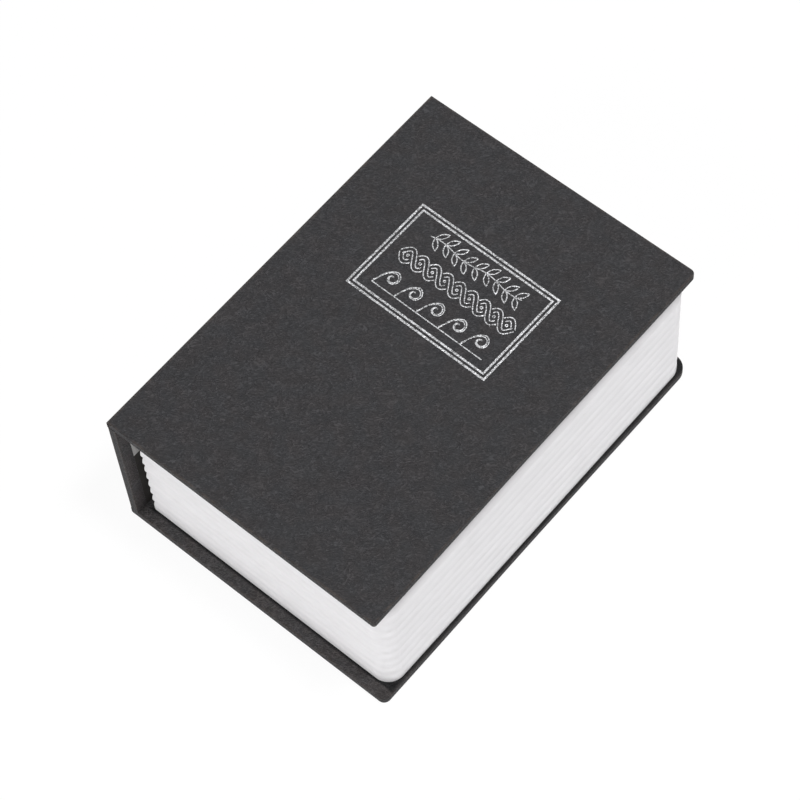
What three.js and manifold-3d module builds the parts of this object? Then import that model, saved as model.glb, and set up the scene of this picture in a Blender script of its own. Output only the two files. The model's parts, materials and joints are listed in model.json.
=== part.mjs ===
// A safe disguised as a small dictionary: a bound case, a ribbed block of imitation pages and a steel
// box with a cam lock inside. Millimetres, +Z up. The closed book lies on its back cover, with the
// origin at the bottom centre, the spine at -X, the fore edge at +X and the head at +Y.
import * as THREE from "three";
import { mergeVertices } from "three/addons/utils/BufferGeometryUtils.js";
import Module from "manifold-3d";

const wasm = await Module();
wasm.setup();

// Driving dimensions
const bookHeight = 115; // tail to head, along Y
const bookWidth = 80; // spine to fore edge, along X
const bookThickness = 45; // back cover to front cover, along Z
const overrun = 1; // how far a cut runs past the face it opens

// Case
const paperThickness = 0.3; // leatherette cover paper
const boardThickness = 1.4; // greyboard
const liningThickness = 0.3; // lining paper, set flush with the turned-over cover paper
const turnIn = 3.3; // cover paper that shows on the inside of the front board and the spine
const backTurnIn = 7; // on the back board, where the pages hide the edge of the lining
const creaseGap = 0.2; // spine board to each cover, at the creases
const frontHeadRadius = 1.4; // fore-edge corners of the boards, seen from above
const frontTailRadius = 0.8;
const backHeadRadius = 4;
const backTailRadius = 1.8;
const flapDrop = 16.5; // how far the front lining runs down the inside of the spine

// Stamped title frame
const frameWidth = 42.2;
const frameHeight = 27.6;
const frameOffsetX = -0.9; // from the middle of the cover
const frameOffsetY = 18.5;
const frameTurn = THREE.MathUtils.degToRad(-0.8); // the stamp sits a little askew
const foilThickness = 0.05;
const outerLineWidth = 0.52;
const lineGap = 0.62;
const innerLineWidth = 0.5;

// Page block
const foreInset = 1; // pages behind the fore edge of the covers
const tailInset = 3.4; // pages behind the tail edge of the covers
const headInset = 0.9; // pages behind the head edge
const armGap = 2.6; // inside of the spine to the ends of the block's arms
const blockWall = 1.7;
const blockTailRadius = 5.5; // fore-edge corners of the block, seen from above
const blockHeadRadius = 4.5;
const ribPitch = 3.7;
const ribDepth = 0.5;
const coverClearance = 0.2; // block to the closed front cover

// Steel box and lid
const tapeThickness = 0.6; // mounting tape between the box and the back cover
const tapeWidth = 12;
const boxSheet = 0.8;
const lidSheet = 1;
const lipSheet = 0.8;
const lipDepth = 5;
const lipClearance = 0.3; // lid lips to the box walls
const lidSwingGap = 0.5; // lid lips to the page block
const boxSetback = 7.1; // inside of the spine to the box's hinge wall
const boxCornerRadius = 1.6;
const headroom = 0.9; // lock head to the closed front cover

// Knuckle hinge between box and lid
const knuckleRadius = 1.5;
const knuckleClearance = 0.3;
const knuckleGap = 0.4; // between neighbouring knuckles
const knuckleCount = 5;
const pinRadius = 0.7;
const pinClearance = 0.2;
const pinHeadLength = 0.6;
const leafThickness = 0.6;
const leafWidth = 10;
const hingeInset = 5.8; // hinge ends behind the box's outer walls
const rivetRadius = 1;
const rivetClearance = 0.1;
const rivetHeadRadius = 1.9;
const rivetHeadHeight = 0.7;
const rivetDomeShare = 0.7; // flat top of the head to its foot
const rivetTailRadius = 1.5;
const rivetTailHeight = 0.5;
const rivetRows = 3; // rivets along each leaf
const rivetRowShare = 0.62; // how far from the hinge line the rivets sit on a leaf
const rivetSpreadShare = 0.8; // length of a row of rivets to the hinge

// Cam lock
const lockSetback = 12.9; // lock centre to the inside of the box's fore wall
const lockRadius = 6;
const lockFlat = 5.3; // centre to each flat of the threaded body
const lockHeadRadius = 8;
const lockHeadHeight = 1.6;
const lockHeadChamfer = 0.4;
const camGap = 0.2; // cam to the end of the lock body
const lockHoleClearance = 0.15;
const plugRadius = 4;
const plugClearance = 0.3;
const plugFaceRadius = 5;
const plugFaceHeight = 0.9;
const plugFaceDrop = 0.2; // plug face below the lock head
const waferChannelWidth = 4.8;
const waferChannelReach = 4.9;
const keywayWidth = 1.5;
const keywayHeight = 5.6;
const keywayFloor = 1; // solid metal between the keyway and the screw
const nutThickness = 2.5;
const nutFlat = 7.5; // centre to flat
const washerThickness = 0.5;
const washerRadius = 7.6;
const waferCount = 4;
const waferPitch = 2.3;
const waferThickness = 0.7;
const waferWidth = 4;
const waferHeight = 6.6;
const waferWindowWidth = 1.8;
const waferWindowHeight = 3.8;
const waferSlotGap = 0.1;
const waferEarWidth = 1;
const waferEarHeight = 0.7;
const springRadius = 0.4;
const springWire = 0.1; // radius of the spring wire
const springTurns = 3;
const springRoom = 0.15; // between a spring and its pocket
const camThickness = 1.5;
const camHalfWidth = 3.6;
const camTipGap = 1.3; // locked cam to the box's fore wall
const camSquare = 2.3; // half side of the plug's square tail
const camSquareGap = 0.15;
const screwRadius = 1.2;
const screwClearance = 0.15;
const screwHeadRadius = 2.6;
const screwHeadHeight = 1.6;
const screwSlotWidth = 0.6;
const screwSlotDepth = 0.6;
const screwDepth = 2.4; // up into the plug
const camWasherThickness = 0.5;
const camWasherRadius = 3.2;
const keeperReach = 4;
const keeperHalfLength = 10;
const keeperSheet = 1;
const keeperHeight = 8;
const keeperGap = 0.4; // locked cam under the keeper

// Places that follow from the sizes above
const halfWidth = bookWidth / 2;
const halfHeight = bookHeight / 2;
const coverThickness = paperThickness + boardThickness + liningThickness;
const spineInside = -halfWidth + coverThickness;
const coverInside = bookThickness - coverThickness;
const liningEnd = halfHeight - turnIn;
const spineBottom = coverThickness + creaseGap;
const spineTop = coverInside - creaseGap;
const blockTop = coverInside - coverClearance;
const armEnd = spineInside + armGap;
const blockFore = halfWidth - foreInset;
const blockEnd = halfHeight - (tailInset + headInset) / 2;
const blockMiddle = (tailInset - headInset) / 2; // the pages and all in them sit nearer the head
const pocketFore = blockFore - blockWall;
const pocketEnd = blockEnd - blockWall;
const lipFore = pocketFore - lidSwingGap;
const lipEnd = pocketEnd - lidSwingGap;
const boxFore = lipFore - lipSheet - lipClearance;
const boxEnd = lipEnd - lipSheet - lipClearance;
const boxBack = spineInside + boxSetback;
const boxBottom = coverThickness + tapeThickness;
const lidTop = coverInside - headroom - lockHeadHeight;
const boxTop = lidTop - lidSheet;
const hingeX = boxBack - knuckleClearance - knuckleRadius;
const hingeZ = lidTop + leafThickness - knuckleRadius;
const hingeEnd = boxEnd - hingeInset;
const knuckleReach = knuckleRadius + knuckleClearance;
const lockX = boxFore - boxSheet - lockSetback;
const plugTop = lidTop + lockHeadHeight - plugFaceDrop;
const keywayBottom = boxTop - waferCount * waferPitch;
const camTop = keywayBottom - keywayFloor - screwDepth;
const lockBottom = camTop + camGap;
const camBottom = camTop - camThickness;
const camReach = lockSetback - camTipGap;

const colours = {
  leatherette: { color: 0x434345, roughness: 0.62, metalness: 0 },
  greyboard: { color: 0x8b8377, roughness: 0.95, metalness: 0 },
  lining: { color: 0xcbcac8, roughness: 0.9, metalness: 0 },
  darkLining: { color: 0x2e2c2b, roughness: 0.9, metalness: 0 },
  foil: { color: 0xd3d4d6, roughness: 0.35, metalness: 0.9 },
  pages: { color: 0xe8e8ea, roughness: 0.5, metalness: 0 },
  boxPaint: { color: 0x26272a, roughness: 0.45, metalness: 0.3 },
  zinc: { color: 0xb9bcc0, roughness: 0.35, metalness: 1 },
  chrome: { color: 0xd9dbde, roughness: 0.15, metalness: 1 },
  brass: { color: 0xc9a85a, roughness: 0.35, metalness: 1 },
  tape: { color: 0xdcdcd6, roughness: 0.95, metalness: 0 },
};

const book = new THREE.Group();

// Puts a finished geometry into the book as a named piece.
function add(name, geometry, finish) {
  const material = new THREE.MeshStandardMaterial(colours[finish]);
  const mesh = new THREE.Mesh(geometry, material);
  mesh.name = name;
  book.add(mesh);
}

// The same for a piece inside the case, made about the middle of the page block.
function addInside(name, geometry, finish) {
  add(name, geometry.translate(0, blockMiddle, 0), finish);
}

// A closed geometry as a solid that can be joined and cut.
function solid(geometry) {
  const bare = new THREE.BufferGeometry();
  const plain = geometry.index ? geometry.toNonIndexed() : geometry;
  bare.setAttribute("position", plain.getAttribute("position"));
  const merged = mergeVertices(bare);
  const mesh = new wasm.Mesh({
    numProp: 3,
    vertProperties: merged.getAttribute("position").array,
    triVerts: new Uint32Array(merged.index.array),
  });
  return new wasm.Manifold(mesh);
}

// A solid back as a geometry.
function geometryOf(shape) {
  const mesh = shape.getMesh();
  const geometry = new THREE.BufferGeometry();
  geometry.setAttribute("position", new THREE.BufferAttribute(mesh.vertProperties, 3));
  geometry.setIndex(new THREE.BufferAttribute(mesh.triVerts, 1));
  return geometry;
}

function join(...shapes) {
  return shapes.reduce((whole, shape) => whole.add(shape));
}

function cut(shape, ...tools) {
  return tools.reduce((rest, tool) => rest.subtract(tool), shape);
}

// A box between two corners.
function block(x0, x1, y0, y1, z0, z1) {
  const geometry = new THREE.BoxGeometry(x1 - x0, y1 - y0, z1 - z0);
  return solid(geometry.translate((x0 + x1) / 2, (y0 + y1) / 2, (z0 + z1) / 2));
}

// A rectangle whose corners are rounded: radii run head-fore, head-spine, tail-spine, tail-fore.
function outline(x0, x1, y0, y1, radii) {
  const [headFore, headSpine, tailSpine, tailFore] = radii;
  const quarter = Math.PI / 2;
  const shape = new THREE.Shape();
  let started = false;
  const corner = (x, y, radius, turn) => {
    if (radius > 0) shape.absarc(x, y, radius, turn * quarter, (turn + 1) * quarter);
    else if (started) shape.lineTo(x, y);
    else shape.moveTo(x, y);
    started = true;
  };
  corner(x1 - headFore, y1 - headFore, headFore, 0);
  corner(x0 + headSpine, y1 - headSpine, headSpine, 1);
  corner(x0 + tailSpine, y0 + tailSpine, tailSpine, 2);
  corner(x1 - tailFore, y0 + tailFore, tailFore, 3);
  shape.closePath();
  return shape;
}

// A flat outline thickened from one height to another.
function slab(shape, z0, z1, curveSegments = 4) {
  const geometry = new THREE.ExtrudeGeometry(shape, {
    depth: z1 - z0,
    bevelEnabled: false,
    curveSegments,
  });
  return solid(geometry.translate(0, 0, z0));
}

// A turned piece: its profile is radius and height pairs, from the axis back to the axis.
function turned(profile, segments = 16) {
  const points = profile.map(([radius, height]) => new THREE.Vector2(radius, height));
  const geometry = new THREE.LatheGeometry(points, segments);
  return geometry.rotateX(Math.PI / 2);
}

// A round bar along Z.
function bar(radius, z0, z1, segments = 16) {
  const geometry = new THREE.CylinderGeometry(radius, radius, z1 - z0, segments);
  return geometry.rotateX(Math.PI / 2).translate(0, 0, (z0 + z1) / 2);
}

// Case: each board with its cover paper and its lining
function boardRadii(headRadius, tailRadius, inset) {
  const shrink = (radius) => Math.max(radius - inset, 0);
  return [shrink(headRadius), 0, 0, shrink(tailRadius)];
}

// Cover paper wrapped round the edges of a cover. It opens towards the inside, where the lining lies
// between the strips that are turned over. On the spine edge it stops just short of the lining.
function coverPaper(outerZ, innerZ, headRadius, tailRadius, turnedOver) {
  const low = Math.min(outerZ, innerZ);
  const high = Math.max(outerZ, innerZ);
  const outwards = Math.sign(outerZ - innerZ);
  const radii = boardRadii(headRadius, tailRadius, 0);
  const whole = slab(outline(-halfWidth, halfWidth, -halfHeight, halfHeight, radii), low, high);
  const boardOuter = outerZ - outwards * paperThickness;
  const boardInner = boardOuter - outwards * boardThickness;
  const boardShape = boardOutline(headRadius, tailRadius);
  const boardRoom = slab(boardShape, Math.min(boardOuter, boardInner), Math.max(boardOuter, boardInner));
  const spineEdgeEnd = boardInner + outwards * creaseGap;
  const innerEnd = innerZ - outwards * overrun;
  const liningLow = Math.min(spineEdgeEnd, innerEnd);
  const liningHigh = Math.max(spineEdgeEnd, innerEnd);
  const liningX0 = -halfWidth - overrun;
  const openFore = halfWidth - turnedOver;
  const openEnd = halfHeight - turnedOver;
  const liningRoom = block(liningX0, openFore, -openEnd, openEnd, liningLow, liningHigh);
  return cut(whole, boardRoom, liningRoom);
}

function boardOutline(headRadius, tailRadius) {
  const radii = boardRadii(headRadius, tailRadius, paperThickness);
  const side = halfWidth - paperThickness;
  const end = halfHeight - paperThickness;
  return outline(-side, side, -end, end, radii);
}

function makeCover(side, outerZ, innerZ, headRadius, tailRadius, turnedOver, liningFinish) {
  const outwards = Math.sign(outerZ - innerZ);
  const boardOuter = outerZ - outwards * paperThickness;
  const boardInner = boardOuter - outwards * boardThickness;
  const paper = coverPaper(outerZ, innerZ, headRadius, tailRadius, turnedOver);
  const board = slab(
    boardOutline(headRadius, tailRadius),
    Math.min(boardOuter, boardInner),
    Math.max(boardOuter, boardInner),
  );
  const lining = block(
    -halfWidth,
    halfWidth - turnedOver,
    turnedOver - halfHeight,
    halfHeight - turnedOver,
    Math.min(boardInner, innerZ),
    Math.max(boardInner, innerZ),
  );
  add(`${side}_cover_paper`, geometryOf(paper), "leatherette");
  add(`${side}_board`, geometryOf(board), "greyboard");
  add(`${side}_endpaper`, geometryOf(lining), liningFinish);
}

// Spine: its board, the cover paper turned over at head and tail, and two linings on its inside
function makeSpine() {
  const boardX0 = -halfWidth + paperThickness;
  const boardX1 = boardX0 + boardThickness;
  const boardEnd = halfHeight - paperThickness;
  const flapBottom = spineTop - flapDrop;
  const whole = block(-halfWidth, spineInside, -halfHeight, halfHeight, spineBottom, spineTop);
  const low = spineBottom - overrun;
  const high = spineTop + overrun;
  const boardRoom = block(boardX0, boardX1, -boardEnd, boardEnd, low, high);
  const liningRoom = block(boardX1, spineInside + overrun, -liningEnd, liningEnd, low, high);
  const board = block(boardX0, boardX1, -boardEnd, boardEnd, spineBottom, spineTop);
  const lining = block(boardX1, spineInside, -liningEnd, liningEnd, spineBottom, flapBottom);
  const flap = block(boardX1, spineInside, -liningEnd, liningEnd, flapBottom, spineTop);
  add("spine_cover_paper", geometryOf(cut(whole, boardRoom, liningRoom)), "leatherette");
  add("spine_board", geometryOf(board), "greyboard");
  add("spine_lining", geometryOf(lining), "darkLining");
  add("spine_endpaper_flap", geometryOf(flap), "lining");
}

// Stamped frame: one rectangle of foil line inside another
function foilLine(name, inset, lineWidth) {
  const halfX = frameWidth / 2 - inset;
  const halfY = frameHeight / 2 - inset;
  const sharp = [0, 0, 0, 0];
  const outer = outline(-halfX, halfX, -halfY, halfY, sharp);
  const innerX = halfX - lineWidth;
  const innerY = halfY - lineWidth;
  const inner = outline(-innerX, innerX, -innerY, innerY, sharp);
  outer.holes.push(inner);
  const foilTop = bookThickness + foilThickness;
  const geometry = geometryOf(slab(outer, bookThickness, foilTop));
  geometry.rotateZ(frameTurn);
  add(name, geometry.translate(frameOffsetX, frameOffsetY, 0), "foil");
}

// Page block: rounded ribs stacked from the back cover up, hollowed for the steel box
function makePageBlock() {
  const height = blockTop - coverThickness;
  const ribs = Math.max(1, Math.round(height / ribPitch));
  const pitch = height / ribs;
  const shape = outline(
    armEnd + ribDepth,
    blockFore - ribDepth,
    ribDepth - blockEnd,
    blockEnd - ribDepth,
    [blockHeadRadius - ribDepth, 0, 0, blockTailRadius - ribDepth],
  );
  const rib = new THREE.ExtrudeGeometry(shape, {
    depth: pitch / 3,
    bevelThickness: pitch / 3,
    bevelSize: ribDepth,
    bevelSegments: 2,
    curveSegments: 5,
  });
  const stack = [];
  for (let i = 0; i < ribs; i += 1) {
    const lift = coverThickness + i * pitch + pitch / 3;
    stack.push(solid(rib.clone().translate(0, 0, lift)));
  }
  const pocketLow = coverThickness - overrun;
  const pocketHigh = blockTop + overrun;
  const pocketShape = outline(
    armEnd - overrun,
    pocketFore,
    -pocketEnd,
    pocketEnd,
    [blockHeadRadius - blockWall, 0, 0, blockTailRadius - blockWall],
  );
  const pocket = slab(pocketShape, pocketLow, pocketHigh);
  addInside("page_block", geometryOf(cut(join(...stack), pocket)), "pages");
}

// Rivets: a domed head, a shank through both sheets and a flattened tail
function rivetGeometry(grip) {
  const shoulder = rivetHeadRadius * rivetDomeShare;
  const profile = [
    [0, -grip - rivetTailHeight],
    [rivetTailRadius, -grip - rivetTailHeight],
    [rivetTailRadius, -grip],
    [rivetRadius, -grip],
    [rivetRadius, 0],
    [rivetHeadRadius, 0],
    [shoulder, rivetHeadHeight],
    [0, rivetHeadHeight],
  ];
  return turned(profile, 12);
}

function rivetPlaces() {
  const spread = 2 * hingeEnd * rivetSpreadShare;
  const first = -spread / 2;
  return Array.from({ length: rivetRows }, (_, i) => first + (i * spread) / (rivetRows - 1));
}

const rivetHeight = hingeZ - leafWidth * rivetRowShare;
const rivetDepth = hingeX + leafWidth * rivetRowShare;

function wallRivetHoles() {
  const radius = rivetRadius + rivetClearance;
  const length = overrun + leafThickness + boxSheet + overrun;
  return rivetPlaces().map((y) => {
    const hole = bar(radius, -length / 2, length / 2, 12).rotateY(Math.PI / 2);
    return solid(hole.translate(boxBack, y, rivetHeight));
  });
}

function lidRivetHoles() {
  const radius = rivetRadius + rivetClearance;
  const low = boxTop - overrun;
  const high = lidTop + leafThickness + overrun;
  return rivetPlaces().map((y) => solid(bar(radius, low, high, 12).translate(rivetDepth, y, 0)));
}

function makeRivets() {
  rivetPlaces().forEach((y, i) => {
    const wallRivet = rivetGeometry(leafThickness + boxSheet).rotateY(-Math.PI / 2);
    wallRivet.translate(boxBack - leafThickness, y, rivetHeight);
    addInside(`box_leaf_rivet_${i + 1}`, wallRivet, "zinc");
    const lidRivet = rivetGeometry(leafThickness + lidSheet);
    lidRivet.translate(rivetDepth, y, lidTop + leafThickness);
    addInside(`lid_leaf_rivet_${i + 1}`, lidRivet, "zinc");
  });
}

// Hinge: knuckles alternate between the box's leaf and the lid's leaf on one pin
function knuckleSpans() {
  const step = (2 * hingeEnd) / knuckleCount;
  return Array.from({ length: knuckleCount }, (_, i) => {
    const start = -hingeEnd + i * step;
    const low = i === 0 ? start : start + knuckleGap / 2;
    const high = i === knuckleCount - 1 ? start + step : start + step - knuckleGap / 2;
    return { low, high, onBox: i % 2 === 0 };
  });
}

// A bar along Y on the hinge line.
function hingeBar(radius, low, high, segments) {
  const geometry = bar(radius, low, high, segments).rotateX(-Math.PI / 2);
  return solid(geometry.translate(hingeX, 0, hingeZ));
}

function makeHinge() {
  const bore = hingeBar(pinRadius + pinClearance, -hingeEnd - overrun, hingeEnd + overrun, 20);
  const spans = knuckleSpans();
  const boxSpans = spans.filter((span) => span.onBox);
  const lidSpans = spans.filter((span) => !span.onBox);
  const leafBottom = hingeZ - leafWidth;
  const outside = boxBack - leafThickness;
  const plateTop = hingeZ - knuckleReach;
  const boxPlate = block(outside, boxBack, -hingeEnd, hingeEnd, leafBottom, plateTop);
  const boxKnuckles = boxSpans.map(({ low, high }) =>
    join(
      hingeBar(knuckleRadius, low, high, 20),
      block(outside, boxBack, low, high, plateTop - leafThickness, hingeZ),
    ),
  );
  const boxLeaf = cut(join(boxPlate, ...boxKnuckles), bore, ...wallRivetHoles());
  addInside("hinge_leaf_box", geometryOf(boxLeaf), "zinc");
  const plateStart = hingeX + knuckleReach;
  const leafTop = lidTop + leafThickness;
  const leafFree = hingeX + leafWidth;
  const lidPlate = block(plateStart, leafFree, -hingeEnd, hingeEnd, lidTop, leafTop);
  const lidKnuckles = lidSpans.map(({ low, high }) =>
    join(
      hingeBar(knuckleRadius, low, high, 20),
      block(hingeX, plateStart + leafThickness, low, high, lidTop, leafTop),
    ),
  );
  const lidLeaf = cut(join(lidPlate, ...lidKnuckles), bore, ...lidRivetHoles());
  addInside("hinge_leaf_lid", geometryOf(lidLeaf), "zinc");
  const shank = hingeBar(pinRadius, -hingeEnd - pinHeadLength, hingeEnd + pinHeadLength, 12);
  const headRadius = pinRadius + pinClearance + knuckleClearance;
  const heads = [-1, 1].map((side) => {
    const inner = side * (hingeEnd + pinClearance);
    const outer = side * (hingeEnd + pinClearance + pinHeadLength);
    return hingeBar(headRadius, Math.min(inner, outer), Math.max(inner, outer), 12);
  });
  addInside("hinge_pin", geometryOf(join(shank, ...heads)), "zinc");
}

// Steel box: an open tray with folded walls
function makeBox() {
  const inner = boxCornerRadius - boxSheet;
  const shell = slab(
    outline(boxBack, boxFore, -boxEnd, boxEnd, Array(4).fill(boxCornerRadius)),
    boxBottom,
    boxTop,
  );
  const room = slab(
    outline(
      boxBack + boxSheet,
      boxFore - boxSheet,
      boxSheet - boxEnd,
      boxEnd - boxSheet,
      Array(4).fill(inner),
    ),
    boxBottom + boxSheet,
    boxTop + overrun,
  );
  addInside("box_body", geometryOf(cut(shell, room, ...wallRivetHoles())), "boxPaint");
}

// Keeper: an angle on the fore wall that the locked cam turns under
function makeKeeper() {
  const wall = boxFore - boxSheet;
  const low = camTop + keeperGap;
  const upright = block(
    wall - keeperSheet,
    wall,
    -keeperHalfLength,
    keeperHalfLength,
    low,
    low + keeperHeight,
  );
  const shelf = block(
    wall - keeperReach,
    wall,
    -keeperHalfLength,
    keeperHalfLength,
    low,
    low + keeperSheet,
  );
  addInside("lock_keeper", geometryOf(join(upright, shelf)), "zinc");
}

// Mounting tape: two strips under the box
function makeTape() {
  const halfLength = boxEnd - tapeWidth;
  const middle = (boxBack + boxFore) / 2;
  const offset = (boxFore - boxBack) / 4;
  [-1, 1].forEach((side) => {
    const x = middle + side * offset;
    const strip = block(
      x - tapeWidth / 2,
      x + tapeWidth / 2,
      -halfLength,
      halfLength,
      coverThickness,
      boxBottom,
    );
    addInside(side < 0 ? "mounting_tape_spine_side" : "mounting_tape_fore_side", geometryOf(strip), "tape");
  });
}

// Lid: a flat pan whose lips hang outside the box on three sides
function makeLid() {
  const back = hingeX + knuckleReach + knuckleClearance;
  const corner = boxCornerRadius + lipClearance + lipSheet;
  const inner = corner - lipSheet;
  const pan = slab(
    outline(back, lipFore, -lipEnd, lipEnd, [corner, 0, 0, corner]),
    lidTop - lipDepth,
    lidTop,
  );
  const room = slab(
    outline(
      back - overrun,
      lipFore - lipSheet,
      lipSheet - lipEnd,
      lipEnd - lipSheet,
      [inner, 0, 0, inner],
    ),
    lidTop - lipDepth - overrun,
    boxTop,
  );
  const hole = lockBody(lockHoleClearance, boxTop - overrun, lidTop + overrun);
  addInside("box_lid", geometryOf(cut(pan, room, hole, ...lidRivetHoles())), "boxPaint");
}

// Lock body's section: round with two flats, grown by a clearance.
function lockBody(clearance, z0, z1) {
  const round = solid(bar(lockRadius + clearance, z0, z1, 32).translate(lockX, 0, 0));
  const reach = lockRadius + clearance + overrun;
  const flat = lockFlat + clearance;
  return round.intersect(block(lockX - reach, lockX + reach, -flat, flat, z0, z1));
}

function lockBar(radius, z0, z1, segments) {
  return solid(bar(radius, z0, z1, segments).translate(lockX, 0, 0));
}

function makeLockHousing() {
  const headTop = lidTop + lockHeadHeight;
  const head = turned(
    [
      [0, lidTop],
      [lockHeadRadius, lidTop],
      [lockHeadRadius, headTop - lockHeadChamfer],
      [lockHeadRadius - lockHeadChamfer, headTop],
      [0, headTop],
    ],
    40,
  );
  const body = lockBody(0, lockBottom, lidTop + overrun / 2);
  const bore = lockBar(plugRadius + plugClearance, lockBottom - overrun, headTop + overrun, 28);
  const faceFloor = plugTop - plugFaceHeight - plugFaceDrop;
  const faceRoom = lockBar(plugFaceRadius + plugClearance, faceFloor, headTop + overrun, 28);
  const channelTop = boxTop;
  const channel = block(
    lockX - waferChannelReach,
    lockX + waferChannelReach,
    -waferChannelWidth / 2,
    waferChannelWidth / 2,
    lockBottom - overrun,
    channelTop,
  );
  const housing = cut(join(solid(head.translate(lockX, 0, 0)), body), bore, faceRoom, channel);
  addInside("lock_housing", geometryOf(housing), "chrome");
}

function makeLockNut() {
  const washerLow = boxTop - washerThickness;
  const nutLow = washerLow - nutThickness;
  const bore = lockRadius + lockHoleClearance;
  const washer = cut(
    lockBar(washerRadius, washerLow, boxTop, 24),
    lockBar(bore, washerLow - overrun, boxTop + overrun, 24),
  );
  addInside("lock_washer", geometryOf(washer), "zinc");
  const corner = nutFlat / Math.cos(Math.PI / 6);
  const nut = cut(
    lockBar(corner, nutLow, washerLow, 6),
    lockBar(bore, nutLow - overrun, washerLow + overrun, 24),
  );
  addInside("lock_nut", geometryOf(nut), "zinc");
}

// Heights of the wafers, from the bottom of the keyway up
function waferHeights() {
  const first = keywayBottom + waferPitch / 2;
  return Array.from({ length: waferCount }, (_, i) => first + i * waferPitch);
}

// Every other wafer carries its spring on the other side of the keyway.
function waferSide(index) {
  return index % 2 === 0 ? 1 : -1;
}

const springX = waferWidth / 2 + waferEarWidth / 2;
const earTop = waferWindowHeight / 2;
const springTop = earTop - waferEarHeight - springRoom;
const springBottom = -earTop;

function waferRoom(index, height) {
  const side = waferSide(index);
  const halfSlot = waferThickness / 2 + waferSlotGap;
  const halfWidthX = waferWidth / 2 + waferSlotGap;
  const slot = block(
    lockX - halfWidthX,
    lockX + halfWidthX,
    -plugRadius - overrun,
    plugRadius + overrun,
    height - halfSlot,
    height + halfSlot,
  );
  const pocketHalf = springRadius + springRoom;
  const near = lockX;
  const far = lockX + side * (waferWidth / 2 + waferEarWidth + waferSlotGap);
  const pocket = block(
    Math.min(near, far),
    Math.max(near, far),
    springBottom - springRoom,
    earTop + springRoom,
    height - pocketHalf,
    height + pocketHalf,
  );
  return join(slot, pocket);
}

function makePlug() {
  const face = lockBar(plugFaceRadius, plugTop - plugFaceHeight, plugTop, 28);
  const body = lockBar(plugRadius, camTop, plugTop, 28);
  const tail = block(
    lockX - camSquare,
    lockX + camSquare,
    -camSquare,
    camSquare,
    camBottom,
    camTop + overrun,
  );
  const keyway = block(
    lockX - keywayWidth / 2,
    lockX + keywayWidth / 2,
    -keywayHeight / 2,
    keywayHeight / 2,
    keywayBottom,
    plugTop + overrun,
  );
  const screwRoom = lockBar(
    screwRadius + screwClearance,
    camBottom - overrun,
    camTop + screwDepth + screwClearance,
    16,
  );
  const rooms = waferHeights().map((height, index) => waferRoom(index, height));
  const plug = cut(join(face, body, tail), keyway, screwRoom, ...rooms);
  addInside("lock_plug", geometryOf(plug), "brass");
}

function makeWafers() {
  waferHeights().forEach((height, index) => {
    const side = waferSide(index);
    const z0 = height - waferThickness / 2;
    const z1 = height + waferThickness / 2;
    const halfX = waferWidth / 2;
    const plate = block(lockX - halfX, lockX + halfX, -waferHeight / 2, waferHeight / 2, z0, z1);
    const window = block(
      lockX - waferWindowWidth / 2,
      lockX + waferWindowWidth / 2,
      -waferWindowHeight / 2,
      waferWindowHeight / 2,
      z0 - overrun,
      z1 + overrun,
    );
    const near = lockX + side * (halfX - waferEarWidth / 2);
    const far = lockX + side * (halfX + waferEarWidth);
    const low = earTop - waferEarHeight;
    const ear = block(Math.min(near, far), Math.max(near, far), low, earTop, z0, z1);
    addInside(`wafer_${index + 1}`, geometryOf(join(cut(plate, window), ear)), "brass");
    makeSpring(index, side, height);
  });
}

// A small coil spring under each wafer's ear
class SpringCurve extends THREE.Curve {
  constructor(x, z, low, high) {
    super();
    Object.assign(this, { x, z, low, high });
  }
  getPoint(t, target = new THREE.Vector3()) {
    const angle = t * springTurns * 2 * Math.PI;
    const radius = springRadius - springWire;
    const y = this.low + t * (this.high - this.low);
    return target.set(this.x + radius * Math.cos(angle), y, this.z + radius * Math.sin(angle));
  }
}

function makeSpring(index, side, height) {
  const x = lockX + side * springX;
  const curve = new SpringCurve(x, height, springBottom + springWire, springTop - springWire);
  const section = new THREE.Shape();
  section.absarc(0, 0, springWire, 0, 2 * Math.PI);
  const geometry = new THREE.ExtrudeGeometry(section, {
    extrudePath: curve,
    steps: springTurns * 8,
    curveSegments: 5,
    bevelEnabled: false,
  });
  addInside(`wafer_spring_${index + 1}`, geometryOf(solid(geometry)), "zinc");
}

// Cam: rests along +Y, clear of the keeper, and turns towards +X to lock
function makeCam() {
  const shape = new THREE.Shape();
  shape.absarc(0, 0, camHalfWidth, Math.PI, 2 * Math.PI);
  const tip = camReach - camHalfWidth / 2;
  shape.lineTo(camHalfWidth, tip);
  shape.lineTo(camHalfWidth / 2, camReach);
  shape.lineTo(-camHalfWidth / 2, camReach);
  shape.lineTo(-camHalfWidth, tip);
  shape.closePath();
  const half = camSquare + camSquareGap;
  const plate = slab(shape, camBottom, camTop, 8);
  const square = block(-half, half, -half, half, camBottom - overrun, camTop + overrun);
  addInside("lock_cam", geometryOf(cut(plate, square)).translate(lockX, 0, 0), "zinc");
  const washerLow = camBottom - camWasherThickness;
  const washer = cut(
    lockBar(camWasherRadius, washerLow, camBottom, 20),
    lockBar(screwRadius + screwClearance, washerLow - overrun, camBottom + overrun, 16),
  );
  addInside("cam_washer", geometryOf(washer), "zinc");
  const headLow = washerLow - screwHeadHeight;
  const slotEnd = screwHeadRadius + overrun;
  const screw = cut(
    join(
      lockBar(screwHeadRadius, headLow, washerLow, 20),
      lockBar(screwRadius, headLow + screwHeadHeight / 2, camTop + screwDepth, 16),
    ),
    block(
      lockX - slotEnd,
      lockX + slotEnd,
      -screwSlotWidth / 2,
      screwSlotWidth / 2,
      headLow - overrun,
      headLow + screwSlotDepth,
    ),
  );
  addInside("cam_screw", geometryOf(screw), "zinc");
}

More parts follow.
